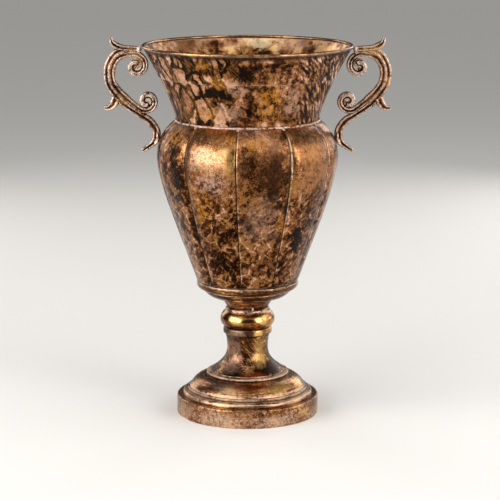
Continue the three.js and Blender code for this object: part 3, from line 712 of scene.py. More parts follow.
def softened(corners, step=1.3, roundSteps=6, smallest=0.02, largest=0.48):  # rounded, then evenly spaced
    points = np.array([corner[:2] for corner in corners], float)
    line = []
    for i, corner in enumerate(corners):
        at = points[i]
        back, ahead = points[i - 1] - at, points[(i + 1) % len(points)] - at
        lengths = [np.linalg.norm(back), np.linalg.norm(ahead)]
        cut = min(corner[2], largest * min(lengths))
        if cut < smallest:
            line.append(at)
            continue
        start, end = at + back / lengths[0] * cut, at + ahead / lengths[1] * cut
        for share in np.linspace(0, 1, roundSteps):
            line.append((1 - share) ** 2 * start + 2 * share * (1 - share) * at + share ** 2 * end)
    spaced = []
    for i, at in enumerate(line):
        ahead = line[(i + 1) % len(line)]
        pieces = max(1, math.ceil(np.linalg.norm(ahead - at) / step))
        spaced += [at + (ahead - at) * k / pieces for k in range(pieces)]
    return np.array(spaced)


def turned(name, corners, wobble=0.0, seed=1, segments=240, step=1.3):
    line = softened(corners, step)
    angle = np.linspace(0, 2 * np.pi, segments, endpoint=False)
    draw = np.random.default_rng(seed)
    drift = np.zeros((len(line), segments))
    for waves in (2, 3, 5, 8):  # the unevenness of hand work
        phase = draw.uniform(0, 2 * np.pi)
        slant = draw.uniform(-0.05, 0.05)
        drift += wobble / waves * np.sin(waves * angle[None, :] + phase + slant * line[:, 1:2] * waves)
    radius = line[:, :1] + drift
    height = np.broadcast_to(line[:, 1:2], radius.shape)
    grid = np.stack([radius * np.cos(angle), radius * np.sin(angle), height], -1)
    mesh = meshOf(name, grid, True, True)
    markSurface(mesh)
    return mesh, line


def nodeReach(node):  # outer radius, lowest and highest height of a node
    low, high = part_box(node)
    points = np.array([vertex.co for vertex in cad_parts[node].data.vertices])
    return np.hypot(points[:, 0], points[:, 1]).max() / mm, low.z / mm, high.z / mm


plinth = {"wall": 1.6, "edge": 2.5, "hem": 5, "seat": 14.5}


def makePlinth():
    radius, low, high = nodeReach("foot_plinth")
    wall = plinth["wall"]
    corners = [
        (radius - plinth["hem"], low, 0.4), (radius, low, 0.9), (radius, high, plinth["edge"]),
        (radius - plinth["seat"], high, 0.5), (radius - plinth["seat"], high - wall, 0.5),
        (radius - wall, high - wall, 1.2), (radius - wall, low + wall, 0.8),
        (radius - plinth["hem"], low + wall, 0.5),
    ]
    mesh, _ = turned("footPlinth", corners, wobble=0.12, seed=2)
    place("footPlinth", mesh, "plinth", ["foot_plinth"])


dome = {"wall": 1.6, "ring": 4.7, "inset": 4, "fillet": 1.6, "crown": 44.2, "bead": 1.7, "hole": 30,
        "round": 0.27, "brim": 0.3, "swellEnd": (0.9, -1.3),
        "quirk": [(-0.5, -0.9, 0.4), (-0.4, -0.2, 0.3), (0.3, 0.1, 0.5)]}  # the groove under the bead


def makeDome():
    radius, low, high = nodeReach("foot_dome")
    wall, fillet, crown = dome["wall"], dome["fillet"], dome["crown"]
    groove, grooveZ = radius - dome["inset"], low + dome["ring"]
    ledge, ledgeZ = groove - fillet, grooveZ + 2 * fillet
    ovolo, beadZ = ledge - fillet, high - dome["bead"]
    swell = (ovolo + (crown - ovolo) * dome["round"], beadZ + (ledgeZ - beadZ) * dome["round"])
    endOut, endUp = dome["swellEnd"]
    corners = [
        *bow((radius, low), (radius, grooveZ), (groove, grooveZ), 12),
        (ledge, grooveZ + fillet / 2, 0.5), (ledge, ledgeZ, 0.6),
        *bow((ovolo, ledgeZ), swell, (crown + endOut, beadZ + endUp), 26),
        *((crown + out, beadZ + up, soft) for out, up, soft in dome["quirk"]),
        (crown + dome["brim"], high, 1.3),
        (dome["hole"], high, 0.5), (dome["hole"], high - wall, 0.5),
        (crown - dome["bead"] - wall, high - wall, 1.2),
        (ovolo - 2 * wall, ledgeZ - wall, 1.5), (ledge - wall, grooveZ - wall, 1), (radius - wall, low, 0.3),
    ]
    mesh, _ = turned("footDome", corners, wobble=0.12, seed=3)
    place("footDome", mesh, "dome", ["foot_dome"])


stem = {"lip": 1.4, "waist": 22.1, "waistRise": 26.7, "flare": 27, "flareRise": 10.7, "neckRise": 16.6,
        "band": 26.2, "bandHigh": 6.6, "groove": 2.2, "bore": 12}


def makeStem():
    radius, low, high = nodeReach("stem")
    waistZ, bandZ = low + stem["waistRise"], high - stem["bandHigh"]
    handles = ((stem["flare"], low + stem["flareRise"]), (stem["waist"], low + stem["neckRise"]))
    throat = (stem["band"] - stem["groove"], bandZ - stem["groove"] / 2)
    corners = [
        (radius, low, 0.4), (radius, low + stem["lip"], 0.7),
        *bezier(((radius, low + stem["lip"]), (stem["waist"], waistZ)), handles, 34)[1:],
        *bow((stem["waist"], waistZ), (stem["waist"], (waistZ + bandZ) / 2), throat, 16)[1:],
        (stem["band"], bandZ, 2.0), (stem["band"], high, 2.6),
        (stem["bore"], high, 0.3), (stem["bore"], waistZ, 1), (dome["hole"], low, 0.3),
    ]
    mesh, _ = turned("stem", corners, wobble=0.1, seed=4, segments=200)
    place("pedestalStem", mesh, "stem", ["stem"])


knop = {"foot": 23.6, "swell": 31.3, "swellLow": 2.6, "swellHigh": 11.5, "lip": 23.3, "lipHigh": 3.6,
        "lipTaper": 1.2, "lipChamfer": 0.8}


def makeKnop():
    _, low, high = nodeReach("knop")
    lipZ = high - knop["lipHigh"]
    handles = ((knop["swell"], low + knop["swellLow"]), (knop["swell"], low + knop["swellHigh"]))
    corners = [
        *bezier(((knop["foot"], low), (knop["lip"] + knop["lipTaper"], lipZ)), handles, 30),
        (knop["lip"], high - knop["lipChamfer"], 0.5), (knop["lip"] - knop["lipChamfer"], high, 0.4),
        (stem["bore"], high, 0.3), (stem["bore"], low, 0.3),
    ]
    mesh, _ = turned("knop", corners, wobble=0.06, seed=5, segments=200)
    place("pedestalKnop", mesh, "knop", ["knop"])


collar = {"foot": 22.9, "chamfer": 1.4, "hollow": 0.7,
          "dropTurn": 14, "dropRise": 0.9, "drop": (1.2, 1.1, 2.0)}


def makeCollar():
    top, low, high = nodeReach("collar")
    foot, chamfer = collar["foot"], collar["chamfer"]
    middle = ((foot + top) / 2 - collar["hollow"], (low + high) / 2)
    corners = [
        (foot - chamfer, low, 0.3), (foot, low + chamfer, 0.8),
        *bow((foot, low + chamfer), middle, (top, high), 10)[1:],
        (stem["bore"], high, 0.3), (stem["bore"], low, 0.3),
    ]
    mesh, _ = turned("collar", corners, wobble=0.08, seed=6, segments=200)
    place("pedestalCollar", mesh, "collar", ["collar"])
    turn = math.radians(collar["dropTurn"])
    middle = (foot * math.sin(turn), -foot * math.cos(turn), low + collar["dropRise"])
    drop = meshOf("collarSolder", ballAt(middle, collar["drop"]), False, True)
    weld(drop)
    markSurface(drop)
    place("collarSolder", drop, "braze", ["collar"])


cap = {"rim": 18.6, "floor": 2.4, "bead": 54.8, "beadHigh": 7.8, "curl": 0.4, "overhang": 8.2, "step": 13.6,
       "ledge": 2, "lip": 1.9, "seatRise": 3, "spigot": 52.2, "wall": 1.6, "rodHole": 4.5}


def makeCap():
    _, low, high = nodeReach("base_cap")
    rimZ = low + cap["rim"]
    beadZ, stepRadius = rimZ - cap["beadHigh"], cap["bead"] - cap["overhang"]
    seat, lipZ = stepRadius - cap["step"], beadZ - cap["lip"]
    ledge, bore = stepRadius + cap["ledge"], cap["spigot"] - cap["wall"]
    beadHandles = ((cap["bead"], beadZ), (cap["bead"] + cap["curl"], rimZ - cap["beadHigh"] / 3))
    corners = [
        (cap["rodHole"], low, 0.3), (seat, low, 0.4),
        *bow((seat, low), (stepRadius - cap["ledge"], low + cap["seatRise"]), (stepRadius, lipZ), 20)[1:],
        (ledge, lipZ + 0.2, 0.6), (ledge, beadZ - 0.5, 0.6), (stepRadius + 0.6, beadZ - 0.2, 0.3),
        *bezier(((ledge, beadZ), (cap["bead"] - cap["curl"], rimZ)), beadHandles, 18),
        (cap["spigot"], rimZ, 0.3), (cap["spigot"], high, 0.3), (bore, high, 0.3),
        (bore, rimZ - cap["beadHigh"] / 3, 1), (stepRadius - cap["wall"], beadZ + cap["wall"], 1.2),
        (seat, low + cap["floor"], 1.5), (cap["rodHole"], low + cap["floor"], 0.3),
    ]
    mesh, _ = turned("baseCap", corners, wobble=0.1, seed=7)
    place("baseCap", mesh, "cap", ["base_cap"])


makePlinth()
makeDome()
makeStem()
makeKnop()
makeCollar()
makeCap()
print("pedestal turned")


# Geometry Nodes trees that grow a piece from named sizes
def startTree(name, sizes):
    tree = bpy.data.node_groups.new(name, "GeometryNodeTree")
    for label, value in sizes.items():
        kind = "NodeSocketInt" if isinstance(value, int) else "NodeSocketFloat"
        tree.interface.new_socket(label, in_out="INPUT", socket_type=kind)
    tree.interface.new_socket("Mesh", in_out="OUTPUT", socket_type="NodeSocketGeometry")
    given = tree.nodes.new("NodeGroupInput")
    return {socket.name: Wire(tree, socket) for socket in given.outputs if socket.name}


def growMesh(name, sizes, grown, finish):
    tree = grown.tree
    scaled = grown.add("GeometryNodeTransform", None, {"Geometry": grown, "Scale": (mm, mm, mm)})
    whole = scaled.add("GeometryNodeRealizeInstances", None, {0: scaled})
    smooth = whole.add("GeometryNodeSetShadeSmooth", None, {0: whole})
    dressed = smooth.add("GeometryNodeSetMaterial", None, {0: smooth, "Material": finishes[finish]})
    output = tree.nodes.new("NodeGroupOutput")
    tree.links.new(dressed.socket, output.inputs[0])
    holder = addObject(name + "Holder", bpy.data.meshes.new(name))
    modifier = holder.modifiers.new("grow", "NODES")
    modifier.node_group = tree
    for item in tree.interface.items_tree:
        if item.in_out == "INPUT":
            modifier[item.identifier] = sizes[item.name]
    return settled(holder)


def stacked(count):  # points in one place, and their numbers
    points = count.add("GeometryNodeMeshLine", None, {"Count": count, "Offset": (0.0, 0.0, 0.0)})
    return points, points.add("GeometryNodeInputIndex")


def circle(count, radius):
    return count.add("GeometryNodeCurvePrimitiveCircle", None, {"Resolution": count, "Radius": radius})


def waveringRing(size, wave, seed):  # a ring whose height wavers, and its positions
    ring = circle(size["Around"], size["Ring Radius"])
    here = ring.add("GeometryNodeInputPosition")
    waver = (here.noise(wave, 2, 0.5, seed) - 0.5) * size["Waver"]
    lifted = here.add("ShaderNodeCombineXYZ", None, {2: size["Ring Height"] + waver})
    return ring.add("GeometryNodeSetPosition", None, {0: ring, "Offset": lifted}), here


body = {
    "Lobes": 10, "First Crease": math.radians(10.5), "Foot Radius": 54.2, "Foot Height": 145.6,
    "Belly Radius": 96.6, "Belly Height": 136.3, "Belly Rise": 62.0, "Belly Slope": 0.365,
    "Belly Round": 27.0, "Shoulder Radius": 45.0, "Top Radius": 76.77,
    "Crease Depth": 3.0, "Crease End": 0.8, "Crease Width": 11.0,
    "Sheet": 0.9, "Edge Roll": 1.0, "Seam Gap": 0.04, "Dent": 0.5, "Dent Size": 26.0, "Wall Share": 0.74,
    "Across": 36, "Up": 108,
}


def goreLine(size, rise):  # the wall is a cubic curve up to the widest height, the shoulder an arc
    wall = (rise / size["Wall Share"]).least(1.0)
    rest = 1 - wall
    over = ((rise - size["Wall Share"]) / (1 - size["Wall Share"])).most(0.0)
    centre = size["Belly Radius"] - size["Shoulder Radius"]
    reach = (size["Top Radius"] - centre) / size["Shoulder Radius"]
    lean = over * reach.sum("ARCCOSINE", reach)
    footR, footZ, wideR = size["Foot Radius"], size["Foot Height"], size["Belly Radius"]
    wideZ = footZ + size["Belly Height"]
    poles = [
        (footR, footZ), (footR + size["Belly Slope"] * size["Belly Rise"], footZ + size["Belly Rise"]),
        (wideR, wideZ - size["Belly Round"]), (wideR, wideZ),
    ]
    weights = [rest * rest * rest, 3 * rest * rest * wall, 3 * rest * wall * wall, wall * wall * wall]
    radius = sumOf(weight * pole[0] for weight, pole in zip(weights, poles))
    height = sumOf(weight * pole[1] for weight, pole in zip(weights, poles))
    runs = [rest * rest, 2 * rest * wall, wall * wall]
    runR = sumOf(run * (poles[i + 1][0] - poles[i][0]) for i, run in enumerate(runs))
    runZ = sumOf(run * (poles[i + 1][1] - poles[i][1]) for i, run in enumerate(runs))
    run = (runR * runR + runZ * runZ).root()
    onArc = over.sum("GREATER_THAN", over, 0.0)
    outR = runZ / run + onArc * (lean.cosine() - runZ / run)
    outZ = onArc * lean.sine() - (1 - onArc) * runR / run
    radius = radius - onArc * size["Shoulder Radius"] * (1 - lean.cosine())
    height = height + onArc * size["Shoulder Radius"] * lean.sine()
    topZ = wideZ + size["Shoulder Radius"] * (1 - reach * reach).root()
    level = ((height - footZ) / (topZ - footZ)).most(0.0).least(1.0)
    return radius, height, outR, outZ, level


def goreRing(size, gore, half):  # the gores set round the axis, with dents
    points, index = stacked(size["Lobes"])
    turn = index.add("ShaderNodeCombineXYZ", None, {2: index * 2 * half})
    turn = turn.add("FunctionNodeEulerToRotation", None, {0: turn})
    sockets = {"Points": points, "Instance": gore, "Rotation": turn}
    ring = points.add("GeometryNodeInstanceOnPoints", None, sockets)
    ring = ring.add("GeometryNodeRealizeInstances", None, {0: ring})
    here = ring.add("GeometryNodeInputPosition")
    beaten = (here.noise(size["Dent Size"], 2, 0.5, 4) - 0.5) * size["Dent"]
    away = here.add("ShaderNodeVectorMath", {"operation": "NORMALIZE"}, {0: here.stretch(1, 1, 0)})
    push = away.add("ShaderNodeVectorMath", {"operation": "SCALE"}, {0: away, "Scale": beaten})
    return ring.add("GeometryNodeSetPosition", None, {0: ring, "Offset": push})


def makeBody():
    size = startTree("goreBody", body)
    across, up = size["Across"], size["Up"]
    counts = {"Size X": 1.0, "Size Y": 1.0, "Vertices X": 2 * across + 1, "Vertices Y": up}
    grid = across.add("GeometryNodeMeshGrid", None, counts)
    spot = grid.add("GeometryNodeInputPosition")
    around, rise = spot.part(0) + 0.5, spot.part(1) + 0.5
    inner = around.sum("GREATER_THAN", around, 0.5)
    half = math.pi / size["Lobes"]
    share = ((1 - 4 * abs(around - 0.5)) * (math.pi / 2)).sine()  # crowded towards the edges
    swing = share * (half - size["Seam Gap"] / (2 * size["Belly Radius"]))
    radius, height, outR, outZ, level = goreLine(size, rise)
    # depth of the crease, and the rolled edge of the sheet
    deepest = size["Crease Depth"] - size["Crease End"]
    depth = size["Crease End"] + deepest * (level * level * math.pi).sine()
    closing = rise.least(1 - rise) * up
    thick = size["Sheet"] * (0.5 + (inner - 0.5) * closing.ease(0.0, 1.6))
    crest = radius - thick * outR
    fromCrease = (1 - abs(share)) * half * radius
    turnIn = (1 - fromCrease / size["Crease Width"]).most(0.0)
    lobe = crest - depth * turnIn * turnIn
    curl = (1 - fromCrease / size["Edge Roll"]).most(0.0)
    dip = (size["Edge Roll"] - thick) * (1 - (1 - curl * curl).most(0.0).root())
    lobe = lobe - dip * outR
    angle = size["First Crease"] + half + swing
    target = lobe.add("ShaderNodeCombineXYZ", None, {
        0: lobe * angle.cosine(), 1: lobe * angle.sine(), 2: height - thick * outZ - dip * outZ,
    })
    marked = grid
    for name, value in (("inside", inner), ("fromCrease", fromCrease), ("goreSide", share)):
        settings = {"data_type": "FLOAT", "domain": "POINT"}
        sockets = {0: marked, "Name": name, "Value": value}
        marked = marked.add("GeometryNodeStoreNamedAttribute", settings, sockets)
    gore = marked.add("GeometryNodeSetPosition", None, {0: marked, "Position": target})
    gore = gore.add("GeometryNodeMergeByDistance", None, {0: gore, "Distance": 0.01})
    mesh = growMesh("bodyGores", body, goreRing(size, gore, half), "body")
    markSurface(mesh)
    nodes = sorted(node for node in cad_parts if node.startswith("body_gore"))
    place("bodyGores", mesh, "body", nodes)


makeBody()

braze = {"Ring Radius": 76.2, "Ring Height": 319.5, "Bead": 1.4, "Waver": 1.1, "Around": 420, "Round": 10,
         "Creases": body["Lobes"], "First Crease": body["First Crease"],
         "Tear": 1.25, "Tear Out": 0.9, "Tear Drop": 0.7}
tearForm = {"lean": math.radians(-52), "scale": (0.9, 1.2, 2.6)}  # one at the end of each crease


def makeBraze():
    size = startTree("shoulderBraze", braze)
    ring, here = waveringRing(size, wave=14, seed=8)
    section = circle(size["Round"], size["Bead"])
    lumpy = 0.55 + 0.9 * here.noise(9, 3, 0.6, 9)
    sockets = {"Curve": ring, "Profile Curve": section, "Scale": lumpy}
    bead = ring.add("GeometryNodeCurveToMesh", None, sockets)
    points, index = stacked(size["Creases"])
    angle = size["First Crease"] + index * (2 * math.pi) / size["Creases"]
    out = size["Ring Radius"] + size["Tear Out"]
    spot = angle.add("ShaderNodeCombineXYZ", None, {
        0: out * angle.cosine(), 1: out * angle.sine(), 2: size["Ring Height"] - size["Tear Drop"],
    })
    points = points.add("GeometryNodeSetPosition", None, {0: points, "Position": spot})
    tear = size["Tear"].add("GeometryNodeMeshIcoSphere", None, {"Radius": size["Tear"], "Subdivisions": 4})
    turn = angle.add("ShaderNodeCombineXYZ", None, {1: tearForm["lean"], 2: angle})
    turn = turn.add("FunctionNodeEulerToRotation", None, {0: turn})
    tears = points.add("GeometryNodeInstanceOnPoints", None, {
        "Points": points, "Instance": tear, "Rotation": turn, "Scale": tearForm["scale"],
    })
    whole = bead.add("GeometryNodeJoinGeometry", None, {0: [bead, tears]})
    mesh = growMesh("shoulderBraze", braze, whole, "braze")
    markSurface(mesh)
    place("shoulderBraze", mesh, "braze", ["neck_cone"])


makeBraze()

neck = {"foot": 75.2, "spigot": 5, "knee": 8, "kneeSpread": 1.2, "seam": 93.3, "seamRise": 47, "lap": 6,
        "sheet": 0.9, "flareRise": 9, "rim": 112.1, "wire": 1.7, "high": 80}
neckTurning = {"wobble": 0.3, "seed": 8, "segments": 280}  # the same for both, so that they fit


def neckLines():
    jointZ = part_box("body_gore_01")[1].z / mm
    foot, seam = np.array((neck["foot"], jointZ)), np.array((neck["seam"], jointZ + neck["seamRise"]))
    knee = np.array((neck["foot"] + neck["kneeSpread"], jointZ + neck["knee"]))
    lean = (seam - knee) / np.linalg.norm(seam - knee)
    out = np.array((lean[1], -lean[0]))
    wire = np.array((neck["rim"] - neck["wire"], jointZ + neck["high"] - neck["wire"]))
    return jointZ, foot, knee, seam, lean, out, wire


def sheetOf(line, thickness, edge=0.35):  # a closed profile from a line and the same line moved sideways
    points = np.array([corner[:2] for corner in line])
    run = np.gradient(points, axis=0)
    run /= np.linalg.norm(run, axis=1)[:, None]
    moved = points + np.stack([run[:, 1], -run[:, 0]], 1) * thickness
    loop = list(points) + list(moved[::-1])
    if thickness > 0:
        loop = loop[::-1]
    ends = (0, len(points) - 1, len(points), 2 * len(points) - 1)
    return [(at[0], at[1], edge if i in ends else 0) for i, at in enumerate(loop)]


def insideOf(mesh, line):
    inner = (line[:, 0] < np.interp(line[:, 1], *sideMiddle(line))).astype(float)
    mark(mesh, "inside", np.repeat(inner, len(mesh.vertices) // len(line)))


def sideMiddle(line, count=60, window=1.6):  # the middle of the sheet at each height
    levels = np.linspace(line[:, 1].min(), line[:, 1].max(), count)
    middles = []
    for level in levels:
        near = line[np.abs(line[:, 1] - level) < window]
        middles.append((near[:, 0].min() + near[:, 0].max()) / 2)
    return levels, middles


def makeNeck():
    jointZ, foot, knee, seam, lean, out, wire = neckLines()
    lapped = seam + lean * neck["lap"]
    coneLine = [(foot[0], jointZ - neck["spigot"]), *bow(foot, knee, seam, 40), (*lapped, 0)]
    mesh, line = turned("neckCone", sheetOf(coneLine, -neck["sheet"]), **neckTurning)
    insideOf(mesh, line)
    place("neckCone", mesh, "neck", ["neck_cone"])
    start = seam + out * seatGap
    spring = start + lean * (neck["lap"] + seatGap)
    bend = spring + lean * neck["flareRise"]
    toWire = (wire - bend) / np.linalg.norm(wire - bend)
    edge = wire - toWire * (neck["wire"] + seatGap) - np.array((toWire[1], -toWire[0])) * neck["sheet"] / 2
    flareLine = [(*start, 0), *bow(spring, bend, edge, 24)]
    mesh, line = turned("neckFlare", sheetOf(flareLine, neck["sheet"]), **neckTurning)
    insideOf(mesh, line)
    place("neckFlare", mesh, "neck", ["neck_flare"])


makeNeck()

rim = {"Ring Radius": 110.4, "Ring Height": 397.5, "Wire Radius": 1.72, "Around": 288, "Round": 16,
       "Waver": 0.5}


def makeRim():
    size = startTree("rimWire", rim)
    ring, _ = waveringRing(size, wave=60, seed=6)
    section = circle(size["Round"], size["Wire Radius"])
    wire = ring.add("GeometryNodeCurveToMesh", None, {"Curve": ring, "Profile Curve": section})
    mesh = growMesh("rimWire", rim, wire, "rim")
    markSurface(mesh)
    place("rimWire", mesh, "rim", ["rim_wire"])


makeRim()
print("body and neck raised")

# Handles: a fluted band that divides into reeds, swept along given routes and cast in one
handle = {
    "depth": 9, "band": 13, "arm": 6.6, "spur": 10, "tail": 8.8,
    "rimSeat": (112.4, 394.1), "shoulderSeat": (94.8, 295.4),
    "bandUpper": [(16.1, -1.9), (27.5, -7.2), (35.2, -16.6), (38.5, -26.3)],
    "bandLower": [(38.5, 62), (33.9, 52.6), (24.5, 40.4)],
    "leafRows": [(0, 0, 0.8, 1), (8.9, 0.6, 0.9, 1), (18.8, 1.4, 0.9, 1),
                 (25.4, 3.4, 1.15, 1), (28.8, 6.9, 0.9, 0.85), (29.6, 12.6, 0.44, 0.6)],
    "spurRows": [(35.8, 47, 1, 1), (40.7, 39.8, 0.92, 0.95), (45.7, 36.6, 0.6, 0.8), (50.9, 36.4, 0.34, 0.6)],
    "tailRows": [(18.6, 28.6, 0.8, 1), (9.4, 22.6, 1, 1), (2.8, 13.6, 1, 1), (1.9, 7.2, 1, 1),
                 (3.8, 0.9, 0.9, 1), (10.4, -4.9, 0.68, 0.85), (17.4, -9.6, 0.5, 0.65)],
    "upperVolute": {"eye": (8.9, -18.5), "radius": 14.4, "shrink": 0.76,
                    "start": 70, "turn": 410, "web": 8.4},
    "lowerVolute": {"eye": (3.9, 44), "radius": 11.3, "shrink": 0.81,
                    "start": -60, "turn": -410, "web": 6.6},
    "voluteEnd": 4.6, "taperTurn": 370, "fluteTurn": 200, "webDepth": 3.6, "root": 3,
    "wedge": 8, "wedgeTip": (0.25, 0.8), "square": 5, "flute": 0.3, "bandFlute": 0.43, "reedFlute": 0.36,
    "voxel": 0.42, "fettle": 0.5, "fettleRounds": 4,
    "rimBlob": (2.6, 6, 3.4), "rimBlobOut": 1.6, "shoulderBlob": (2.2, 6.2, 6), "shoulderBlobAt": (0.8, 6),
    "blob": 3.4, "blobFade": 1.8, "coilShare": 0.7, "coilFade": 1.6,
}


def splineAt(rows, shares):  # a centripetal curve through the rows, read at shares of its spans
    rows = np.array(rows, float)
    padded = np.vstack([2 * rows[0] - rows[1], rows, 2 * rows[-1] - rows[-2]])
    spans = len(rows) - 1
    values = []
    for share in shares:
        span = min(int(share * spans), spans - 1)
        corner = padded[span:span + 4]
        gaps = np.maximum(np.linalg.norm(np.diff(corner[:, :2], axis=0), axis=1) ** 0.5, 1e-6)
        knots = np.concatenate([[0], np.cumsum(gaps)])
        at = knots[1] + (share * spans - span) * (knots[2] - knots[1])
        level = list(corner)
        for degree in range(1, 4):
            level = [
                (level[i] * (high - at) + level[i + 1] * (at - low)) / (high - low)
                for i, (low, high) in enumerate(
                    zip(knots, knots[degree:]) if degree < 3 else [(knots[1], knots[2])])
            ]
        values.append(level[0])
    return np.array(values)


def ridgedSection(ridges, points=44):  # shares of width, depth and fluting round a bar
    turn = np.linspace(0, 2 * np.pi, points, endpoint=False)
    across = 0.5 * np.cos(turn)
    edge = np.sqrt(np.maximum(1 - np.abs(2 * across) ** handle["square"], 0))
    band, reed = handle["bandFlute"], handle["reedFlute"]
    if ridges == 3:
        flute = np.where(np.abs(across) < band, np.sin(np.pi * across / band) ** 2, 0)
    else:
        flute = np.where(np.abs(across) < reed, np.cos(np.pi * across / (2 * reed)) ** 2, 0)
    return across, 0.5 * np.sign(np.sin(turn)) * edge, handle["flute"] * flute


def sweep(ridges, rows, steps):
    across, through, flute = ridgedSection(ridges)
    shares = np.linspace(0, 1, steps + 1)
    line = splineAt(rows, shares)
    run = np.gradient(line[:, :2], axis=0)
    run /= np.linalg.norm(run, axis=1)[:, None]
    x = line[:, :1] + run[:, 1:] * line[:, 2:3] * across
    z = line[:, 1:2] - run[:, :1] * line[:, 2:3] * across
    fluted = line[:, 4:5] if line.shape[1] > 4 else 1
    y = line[:, 3:4] * through * (1 - fluted * flute)
    grid = np.stack([x, y, z], -1)
    ends = [np.broadcast_to(grid[k].mean(0), grid[k].shape)[None] for k in (0, -1)]
    return np.concatenate([ends[0], grid, ends[1]])


def voluteRows(volute, eye, width, steps=24):
    rows = []
    for i in range(steps + 1):
        swing = volute["turn"] * i / steps
        reach = volute["radius"] * volute["shrink"] ** abs(swing / 90)
        angle = math.radians(volute["start"] + swing)
        along = min(1, i / steps * abs(volute["turn"]) / handle["taperTurn"])
        taper = width + (handle["voluteEnd"] - width) * along
        fluted = max(0, 1 - abs(swing) / handle["fluteTurn"])
        at = (eye[0] + reach * math.cos(angle), eye[1] + reach * math.sin(angle))
        rows.append((*at, taper, handle["depth"], fluted))
    return rows


def voluteWeb(volute, eye, points=48):
    quarter = math.radians(volute["start"]) + math.pi / 2 * math.copysign(1, volute["start"])
    shift = (volute["radius"] * volute["shrink"] - volute["web"]) / 2
    middle = (eye[0] + shift * math.cos(quarter), eye[1] + shift * math.sin(quarter))
    angle = np.linspace(0, 2 * np.pi, points, endpoint=False)
    half = handle["webDepth"] / 2
    rings = []
    for radius, y in ((0.01, -half), (volute["web"], -half), (volute["web"], half), (0.01, half)):
        ring = [middle[0] + radius * np.cos(angle), np.full(points, y), middle[1] + radius * np.sin(angle)]
        rings.append(np.stack(ring, -1))
    return np.array(rings)


def fromChord(rows, base):  # rows measured out from the line through both seats
    rimX, rimZ = handle["rimSeat"]
    seatX, seatZ = handle["shoulderSeat"]
    slope = (rimX - seatX) / (rimZ - seatZ)
    return [(seatX + (base + row[1] - seatZ) * slope + row[0], base + row[1], *row[2:]) for row in rows]


def eyes():
    upper = fromChord([handle["upperVolute"]["eye"]], handle["rimSeat"][1])[0]
    return upper, fromChord([handle["lowerVolute"]["eye"]], handle["shoulderSeat"][1])[0]


def handleForms():
    rimX, rimZ = handle["rimSeat"]
    seatX, seatZ = handle["shoulderSeat"]
    depth, width = handle["depth"], handle["band"]

    def sized(rows, full):
        return [(x, z, wide * full, deep * depth) for x, z, wide, deep in rows]

    bandLine = fromChord(handle["bandUpper"], rimZ) + fromChord(handle["bandLower"], seatZ)
    bandRows = [(x, z, width, depth) for x, z in bandLine]
    ends = splineAt(bandRows, [0, 0.001, 0.999, 1])

    def root(end, side, back):  # where a reed leaves one half of the band
        at = ends[0] if end == 0 else ends[3]
        run = ends[1] - ends[0] if end == 0 else ends[3] - ends[2]
        run = run[:2] / np.linalg.norm(run[:2])
        out = side * width / 4
        return (at[0] + run[1] * out + run[0] * back, at[1] - run[0] * out + run[1] * back, width / 2, depth)

    def wedge(at, run):  # the band runs out to a point between the two reeds
        run = run[:2] / np.linalg.norm(run[:2])
        wide, deep = handle["wedgeTip"]
        return (*(at[:2] + run * handle["wedge"]), wide * width, deep * depth)

    upperEye, lowerEye = eyes()
    back, (blobOut, blobUp) = handle["root"], handle["shoulderBlobAt"]
    tailRows = [(seatX + x, seatZ + z, wide, deep) for x, z, wide, deep in handle["tailRows"]]
    return [
        sweep(3, [wedge(ends[0], ends[0] - ends[1]), *bandRows, wedge(ends[3], ends[3] - ends[2])], 160),
        sweep(2, [(*root(0, 1, back), 1), *voluteRows(handle["upperVolute"], upperEye, width / 2)], 200),
        sweep(2, [(*root(1, 1, -back), 1), *voluteRows(handle["lowerVolute"], lowerEye, width / 2)], 200),
        sweep(2, [root(1, -1, -back), *sized(tailRows, handle["tail"])], 120),
        sweep(2, sized(fromChord(handle["leafRows"], rimZ), handle["arm"]), 80),
        sweep(2, sized(fromChord(handle["spurRows"], seatZ), handle["spur"]), 60),
        voluteWeb(handle["upperVolute"], upperEye),
        voluteWeb(handle["lowerVolute"], lowerEye),
        ballAt((rimX + handle["rimBlobOut"], 0, rimZ), handle["rimBlob"]),
        ballAt((seatX + blobOut, 0, seatZ + blobUp), handle["shoulderBlob"]),
    ]


def castHandle():
    corners, faces = [], []
    for grid in handleForms():
        part = meshOf("form", grid, False, True)
        start = len(corners)
        corners += [vertex.co[:] for vertex in part.vertices]
        faces += [[start + k for k in polygon.vertices] for polygon in part.polygons]
        bpy.data.meshes.remove(part)
    mesh = bpy.data.meshes.new("casting")
    mesh.from_pydata(corners, [], faces)
    holder = addObject("castingHolder", mesh)
    remesh = holder.modifiers.new("cast", "REMESH")
    remesh.mode = "VOXEL"
    remesh.voxel_size = handle["voxel"] * mm
    remesh.use_smooth_shade = True
    smooth = holder.modifiers.new("fettle", "SMOOTH")
    smooth.factor = handle["fettle"]
    smooth.iterations = handle["fettleRounds"]
    return settled(holder)


def makeHandles():
    right = castHandle()
    points = pointsOf(right)
    brazed = np.zeros(len(points))
    for x, z in (handle["rimSeat"], handle["shoulderSeat"]):
        away = np.hypot(points[:, 0] - x, points[:, 2] - z)
        brazed = np.maximum(brazed, np.clip(handle["blobFade"] - away / handle["blob"], 0, 1))
    mark(right, "braze", brazed)
    coil = np.zeros(len(points))
    for name, eye in zip(("upperVolute", "lowerVolute"), eyes()):
        away = np.hypot(points[:, 0] - eye[0], points[:, 2] - eye[1])
        reach = handle["coilShare"] * handle[name]["radius"]
        coil = np.maximum(coil, np.clip(handle["coilFade"] - away / reach, 0, 1))
    mark(right, "coil", coil)
    markSurface(right, sharp=1.6, spread=3)
    left = right.copy()
    halfTurn = points * (-1, -1, 1) * mm
    left.vertices.foreach_set("co", halfTurn.ravel())
    left.update()
    place("handleRight", right, "handle", ["handle_right"])
    place("handleLeft", left, "handle", ["handle_left"])


makeHandles()
print("handles cast")

